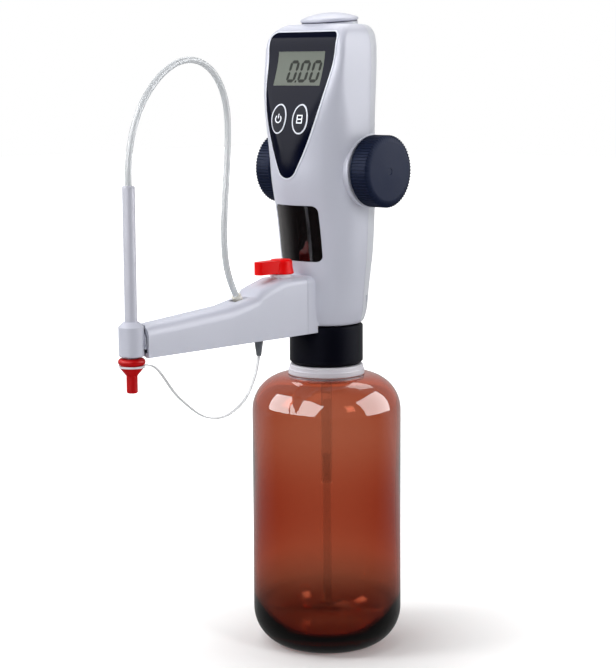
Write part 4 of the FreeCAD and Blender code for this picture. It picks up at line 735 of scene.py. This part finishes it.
def copies_tree():
    """Copies of one part at every point, each turned a step further round X than the last."""
    tree, given = tree_with("copies", part="Object", step="Float", finish="Material")
    part = add(tree, "GeometryNodeObjectInfo", {"Object": given["part"], "As Instance": True})
    place = add(tree, "GeometryNodeInputIndex")
    angle = add(tree, "ShaderNodeMath", {0: place.outputs["Index"], 1: given["step"]},
                operation="MULTIPLY")
    turn = add(tree, "ShaderNodeCombineXYZ", {"X": angle.outputs["Value"]})
    set_out = add(tree, "GeometryNodeInstanceOnPoints", {
        "Points": given["Geometry"], "Instance": part.outputs["Geometry"],
        "Rotation": turn.outputs["Vector"]})
    solid = add(tree, "GeometryNodeRealizeInstances", {"Geometry": set_out.outputs["Instances"]})
    painted = add(tree, "GeometryNodeSetMaterial", {"Geometry": solid.outputs["Geometry"],
                                                    "Material": given["finish"]})
    add(tree, "NodeGroupOutput", {"Geometry": painted.outputs["Geometry"]})
    return tree


copies = copies_tree()


def copies_of(name, part, places, step, finish):
    """One mesh of the part's copies; the part itself is then taken away."""
    start = bpy.data.meshes.new(name)
    start.from_pydata(places, [], [])
    mesh = grown(name, copies, start, part=part, step=step, finish=finish)
    bpy.data.objects.remove(part)
    return mesh


low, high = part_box("housing_screws")
screw_places = [
    (x, high.y, z) for z, inward in ((low.z + SCREW_HEAD, SCREW_HEAD + LOWER_SCREWS_INWARD),
                                     (high.z - SCREW_HEAD, SCREW_HEAD))
    for x in (low.x + inward, high.x - inward)]
screws = new_piece("cover_screws", copies_of("cover_screws", screw_form(), screw_places, 0.0,
                                             screw_steel), screw_steel)
screws.data.set_sharp_from_angle(angle=math.radians(35))
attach(screws, "instrument")
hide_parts("housing_screws")


# Crown: a domed ABS cap, leaning slightly back, pressed onto a flat nitrile gasket that shows
# as a dark line under it.
kept_form("top_cap", "crown_cap", housing_plastic)
gasket_rubber = moulded("moulded_nitrile_gasket", "#23263A", 0.6, 0.6, 0.03, blush=0.1)
kept_form("cap_gasket", "crown_gasket", gasket_rubber)


# Front panel: a glossy near-black polyester film, back-printed and embossed, with light moulded
# rims round it and round the two keys. It lies in a tray of the front shell.
panel_film = moulded("back_printed_polyester_film", "#04071A", 0.16, 3.0, 0.004, blush=0.1,
                     shine=0.03)
kept_form("front_panel", "panel_film", panel_film)
rim_plastic = moulded("moulded_light_rim", "#DCDFEA", 0.34, 1.0, 0.005, edge_mm=0.2, shine=0.2)
kept_form("panel_rims", "light_rims", rim_plastic)
display_glass = moulded("reflective_display_glass", "#666C64", 0.2, 4.0, 0.002, blush=0.04,
                        shine=0.05)
lens = kept_form("display_lens", "display_glass", display_glass)
key_film = moulded("embossed_key_film", "#050818", 0.2, 3.0, 0.004, blush=0.1, shine=0.04)
left_key = kept_form("power_key", "power_key_cap", key_film)
right_key = kept_form("mode_key", "mode_key_cap", key_film)

# What shows on the display and the keys: 0.00 in dark leaning segments, a power sign on the
# left key and a small table sign on the right one. Each lies on its ground, 0.06 mm thick.
PRINT_THICKNESS = 0.00006
PRINT_SINK = 0.00004
BEFORE_THE_PART = -0.3
DIGIT_HEIGHT = 0.0144
DIGIT_WIDTH = 0.0080
DIGIT_PITCH = 0.0100
DIGIT_STROKE = 0.0021
DIGIT_LEAN = math.tan(math.radians(8))
DIGIT_MARGIN = 0.0020
DIGIT_BELOW = 0.0019
SEGMENT_GAP = 0.00012
POINT_ASIDE = 0.001
POINT_HALF = 0.0007
SIGN_STROKE = 0.0007


def printed(name, shapes, ground, finish, body):
    """Thin closed shapes, given as (x, z) outlines seen from the front, laid on a ground."""
    surface = BVHTree.FromPolygons([v.co for v in ground.data.vertices],
                                   [p.vertices for p in ground.data.polygons])
    form = bmesh.new()
    for shape in shapes:
        fronts, backs = [], []
        for x, z in shape:
            spot = surface.ray_cast(Vector((x, BEFORE_THE_PART, z)), Vector((0, 1, 0)))[0]
            fronts.append(form.verts.new(spot - Vector((0, PRINT_THICKNESS, 0))))
            backs.append(form.verts.new(spot + Vector((0, PRINT_SINK, 0))))
        form.faces.new(fronts)
        form.faces.new(backs[::-1])
        for k, front in enumerate(fronts):
            after = (k + 1) % len(fronts)
            form.faces.new((fronts[after], front, backs[k], backs[after]))
    made = closed_piece(name, form, finish, 30)
    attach(made, body)


def bar(x1, z1, x2, z2, stroke):
    """A straight stroke with pointed ends, as in a segment display."""
    along = Vector((x2 - x1, z2 - z1)).normalized() * stroke / 2
    side = Vector((-along.y, along.x))
    start, end = Vector((x1, z1)), Vector((x2, z2))
    return [tuple(p) for p in (start, start + along + side, end - along + side, end,
                               end - along - side, start + along - side)]


def block(x, z, half_width, half_height):
    """An upright rectangle about a place."""
    return [(x - half_width, z - half_height), (x + half_width, z - half_height),
            (x + half_width, z + half_height), (x - half_width, z + half_height)]


def zero(left, bottom):
    """The six outer segments of a nought, upright."""
    inset = DIGIT_STROKE / 2
    x1, x2 = left + inset, left + DIGIT_WIDTH - inset
    z1, z2, z3 = bottom + inset, bottom + DIGIT_HEIGHT / 2, bottom + DIGIT_HEIGHT - inset
    ends1, ends2, ends3 = z1 + SEGMENT_GAP, z2 - SEGMENT_GAP, z3 - SEGMENT_GAP
    runs = [(x1 + SEGMENT_GAP, z, x2 - SEGMENT_GAP, z) for z in (z1, z3)]
    runs += [(x, ends1, x, ends2) for x in (x1, x2)]
    runs += [(x, z2 + SEGMENT_GAP, x, ends3) for x in (x1, x2)]
    return [bar(*run, DIGIT_STROKE) for run in runs]


low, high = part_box("display_lens")
bottom = low.z + DIGIT_BELOW
lefts = [high.x - DIGIT_MARGIN - DIGIT_WIDTH - DIGIT_PITCH * i for i in range(3)]
upright = [shape for left in lefts for shape in zero(left, bottom)]
upright.append(block(lefts[2] + DIGIT_WIDTH + POINT_ASIDE, bottom + POINT_HALF, POINT_HALF,
                     POINT_HALF))
leaning = [[(x + (z - bottom - DIGIT_HEIGHT / 2) * DIGIT_LEAN, z) for x, z in shape]
           for shape in upright]
segment_dark = moulded("display_segments", "#10140F", 0.35, 1.0, 0.001, shine=0.05)
printed("display_digits", leaning, lens, segment_dark, "instrument")

sign_print = moulded("screen_printed_signs", "#DCDFEA", 0.4, 0.5, 0.001)
low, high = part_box("power_key")
middle_x, middle_z = (low.x + high.x) / 2, (low.z + high.z) / 2
SIGN_RADIUS = 0.0024
OPENING = math.radians(38)
ARC_PARTS = 20
STEM_MIDDLE = 0.0018
STEM_HALF = 0.0015
turns = [math.pi / 2 + OPENING + (math.tau - 2 * OPENING) * i / ARC_PARTS
         for i in range(ARC_PARTS + 1)]
inner, outer = SIGN_RADIUS - SIGN_STROKE / 2, SIGN_RADIUS + SIGN_STROKE / 2
power_sign = [[(middle_x + radius * math.cos(turn), middle_z + radius * math.sin(turn))
               for radius, turn in ((inner, a), (outer, a), (outer, b), (inner, b))]
              for a, b in zip(turns, turns[1:])]
power_sign.append(block(middle_x, middle_z + STEM_MIDDLE, SIGN_STROKE / 2, STEM_HALF))
printed("power_sign", power_sign, left_key, sign_print, "power_button")
low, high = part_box("mode_key")
middle_x, middle_z = (low.x + high.x) / 2, (low.z + high.z) / 2
TABLE_HALF = 0.0024
POST_ASIDE = 0.0021
POST_RISE = 0.0012
POST_HALF = 0.00085
table_sign = [block(middle_x, middle_z + rise, TABLE_HALF, SIGN_STROKE / 2)
              for rise in (-TABLE_HALF, 0, TABLE_HALF)]
table_sign += [block(middle_x + aside, middle_z + rise, SIGN_STROKE / 2, POST_HALF)
               for aside in (-POST_ASIDE, POST_ASIDE) for rise in (-POST_RISE, POST_RISE)]
printed("table_sign", table_sign, right_key, sign_print, "mode_button")


# Inspection window: a smoked acrylic pane, moulded to the housing's curve, through which the
# barrel is watched. Clear but dark, with a hard polish.
smoked, tree = new_finish("smoked_acrylic_window")
place = add(tree, "ShaderNodeTexCoord").outputs["Object"]
wiped = add(tree, "ShaderNodeTexNoise", {"Vector": place, "Scale": 120.0, "Detail": 3.0})
worn = add(tree, "ShaderNodeMapRange", {"Value": wiped.outputs["Fac"], "To Min": 0.02,
                                        "To Max": 0.07})
shader = add(tree, "ShaderNodeBsdfPrincipled", {
    "Base Color": tint("#443A3C"), "Roughness": worn.outputs["Result"], "IOR": 1.49,
    "Specular IOR Level": 0.12, "Transmission Weight": 0.95})
add(tree, "ShaderNodeOutputMaterial", {"Surface": shader.outputs["BSDF"]})
kept_form("inspection_window", "window_pane", smoked)


# Hand wheels: navy polyamide cups pushed onto the shaft's ends. Sixty-eight ribs run along the
# rim and over its rounded shoulder for grip, and the domed face has a moulding mark at its
# middle. Satin, with patches that fingers have polished.
WHEEL_RADIUS = 0.0237
WHEEL_INNER = 0.0357
WHEEL_OUTER = 0.0507
WHEEL_DOME = 0.0004
WHEEL_EDGE = 0.0052
WHEEL_EDGE_RISE = 0.0016
WHEEL_RIM = 0.0028
WHEEL_WEB = 0.0032
WHEEL_HUB = 0.0055
SHAFT_END_GAP = 0.003
SHAFT_FIT = 0.00253
RIB_COUNT = 68
RIB_DEPTH = 0.0006
RIB_SHARE = 0.52
RIB_TOP_SHARE = 0.6
RIB_ROOT_DEPTH = 1.5 * RIB_DEPTH
RIB_START = 0.0012
HUB_SET_IN = 0.0004
RIM_EDGE = ((0.001, 0), (0, 0.001), (0, 0.0014), (RIB_DEPTH, 0.0018))
DOME = ((0.014, 0.00017), (0.008, 0.00033))
MARK_RADIUS = 0.0022
MARK_DEPTH = 0.0003
wheel_face = WHEEL_OUTER - WHEEL_DOME
wheel_reach = WHEEL_RADIUS - WHEEL_EDGE
shoulder_low = wheel_face - WHEEL_EDGE_RISE
shoulder_round = (WHEEL_EDGE ** 2 + WHEEL_EDGE_RISE ** 2) / (2 * WHEEL_EDGE_RISE)
wheel_shoulder = [(WHEEL_RADIUS, shoulder_low)]
wheel_shoulder += arc((WHEEL_RADIUS, shoulder_low), (wheel_reach, wheel_face),
                      shoulder_round, 1, 10)
between_ribs = [(radius - RIB_DEPTH * (radius - wheel_reach) / WHEEL_EDGE, out)
                for radius, out in wheel_shoulder]
wheel_profile = [(0, WHEEL_OUTER - SHAFT_END_GAP), (SHAFT_FIT, WHEEL_OUTER - SHAFT_END_GAP),
                 (SHAFT_FIT, WHEEL_INNER + HUB_SET_IN), (WHEEL_HUB, WHEEL_INNER + HUB_SET_IN),
                 (WHEEL_HUB, wheel_face - WHEEL_WEB),
                 (WHEEL_RADIUS - WHEEL_RIM, wheel_face - WHEEL_WEB),
                 (WHEEL_RADIUS - WHEEL_RIM, WHEEL_INNER)]
wheel_profile += [(WHEEL_RADIUS - inward, WHEEL_INNER + out) for inward, out in RIM_EDGE]
wheel_profile += between_ribs
wheel_profile += [(radius, wheel_face + rise) for radius, rise in DOME]
wheel_profile += [(MARK_RADIUS, WHEEL_OUTER - 0.00002),
                  (MARK_RADIUS - MARK_DEPTH, WHEEL_OUTER - MARK_DEPTH),
                  (0, WHEEL_OUTER - MARK_DEPTH)]
wheel_plastic = moulded("moulded_navy_polyamide", "#0F182F", 0.46, 0.6, 0.02, blush=0.08,
                        edge_mm=0.15, shine=0.06)


def rib():
    """One grip rib on top of the rim: a tapered ridge that thins out over the shoulder."""
    path = [(WHEEL_RADIUS, WHEEL_INNER + RIB_START)] + wheel_shoulder
    half = RIB_SHARE * math.pi * WHEEL_RADIUS / RIB_COUNT
    form = bmesh.new()
    rings = []
    for radius, out in path:
        width = half * radius / WHEEL_RADIUS
        root = radius - RIB_ROOT_DEPTH
        top = width * RIB_TOP_SHARE
        rings.append([form.verts.new((out if height > root else out - 0.0002, aside, height))
                      for aside, height in ((-width, root), (-top, radius), (top, radius),
                                            (width, root))])
    for near, far in zip(rings, rings[1:]):
        for k in range(4):
            form.faces.new((near[k], near[(k + 1) % 4], far[(k + 1) % 4], far[k]))
    form.faces.new(rings[0])
    form.faces.new(rings[-1])
    return closed_piece("rib", form, wheel_plastic, 30)


ribs = copies_of("ribs", rib(), [(0, 0, 0)] * RIB_COUNT, math.tau / RIB_COUNT, wheel_plastic)
for side, name in ((1, "right"), (-1, "left")):
    low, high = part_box("handwheel_" + name)
    form = lathe(wheel_profile)
    form.transform(Matrix(((0, 0, 1, 0), (1, 0, 0, 0), (0, 1, 0, 0), (0, 0, 0, 1))))
    form.from_mesh(ribs)
    form.transform(Matrix.Translation((0, (low.y + high.y) / 2, (low.z + high.z) / 2))
                   @ Matrix.Diagonal((side, 1, 1, 1)))
    wheel = closed_piece("wheel_" + name, form, wheel_plastic, 28)
    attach(wheel, "handwheels")
    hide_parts("handwheel_" + name)
kept_form("shaft_bushes", "wheel_bushes", housing_plastic)


# Arm: an arched ABS shell, open below and closed by a snapped-in cover, screwed to the
# bracket of the front shell. A moulded rail slides in it and carries the ring that holds the
# titrating tube, an extruded polypropylene pipe with a fluoropolymer tip.
kept_form("arm_shell", "arm", housing_plastic)
kept_form("arm_base", "arm_underside", housing_plastic)
kept_form("arm_rail", "sliding_rail", housing_plastic)
kept_form("tube_holder", "holder_ring", housing_plastic)
tube_grey = moulded("extruded_polypropylene_tube", "#BCBDC9", 0.38, 1.2, 0.02, blush=0.02,
                    edge_mm=0.15)
kept_form("titrating_tube", "tube_body", tube_grey)
kept_form("tube_nozzle", "tube_tip", block_plastic)


# Valve: a fluoropolymer body in the arm, its spindle, a white neck ring on the arm, and the red
# polypropylene lever pushed onto the spindle's top. The red is a strong signal red, satin.
kept_form("discharge_valve", "valve_body", block_plastic)
kept_form("valve_spindle", "valve_stem", block_plastic)
kept_form("lever_neck_ring", "lever_neck", ring_plastic)
red_plastic = moulded("moulded_signal_red_lever", "#E80002", 0.36, 0.8, 0.015, blush=0.03,
                      edge_mm=0.4, shine=0.08)
kept_form("valve_lever", "lever_grip", red_plastic)


# Hose gland and strap cone: the light sleeve that grips the hose in the arm's slot, and the
# grey soft cone under the arm that the strap hangs from.
kept_form("hose_gland", "hose_entry", natural_plastic)
anchor_grey = moulded("moulded_grey_elastomer", "#54585E", 0.5, 0.8, 0.02)
kept_form("strap_anchor", "strap_cone", anchor_grey)


# Tip cap: deep red polypropylene, screwed over the tube's end to keep it from dripping, with
# the strap's white ring snapped round its waist.
cap_red = moulded("moulded_deep_red_cap", "#B9040A", 0.32, 0.8, 0.01, blush=0.03, edge_mm=0.3,
                  shine=0.12)
kept_form("tip_cap", "red_cap", cap_red)
kept_form("cap_band", "strap_ring", ring_plastic)
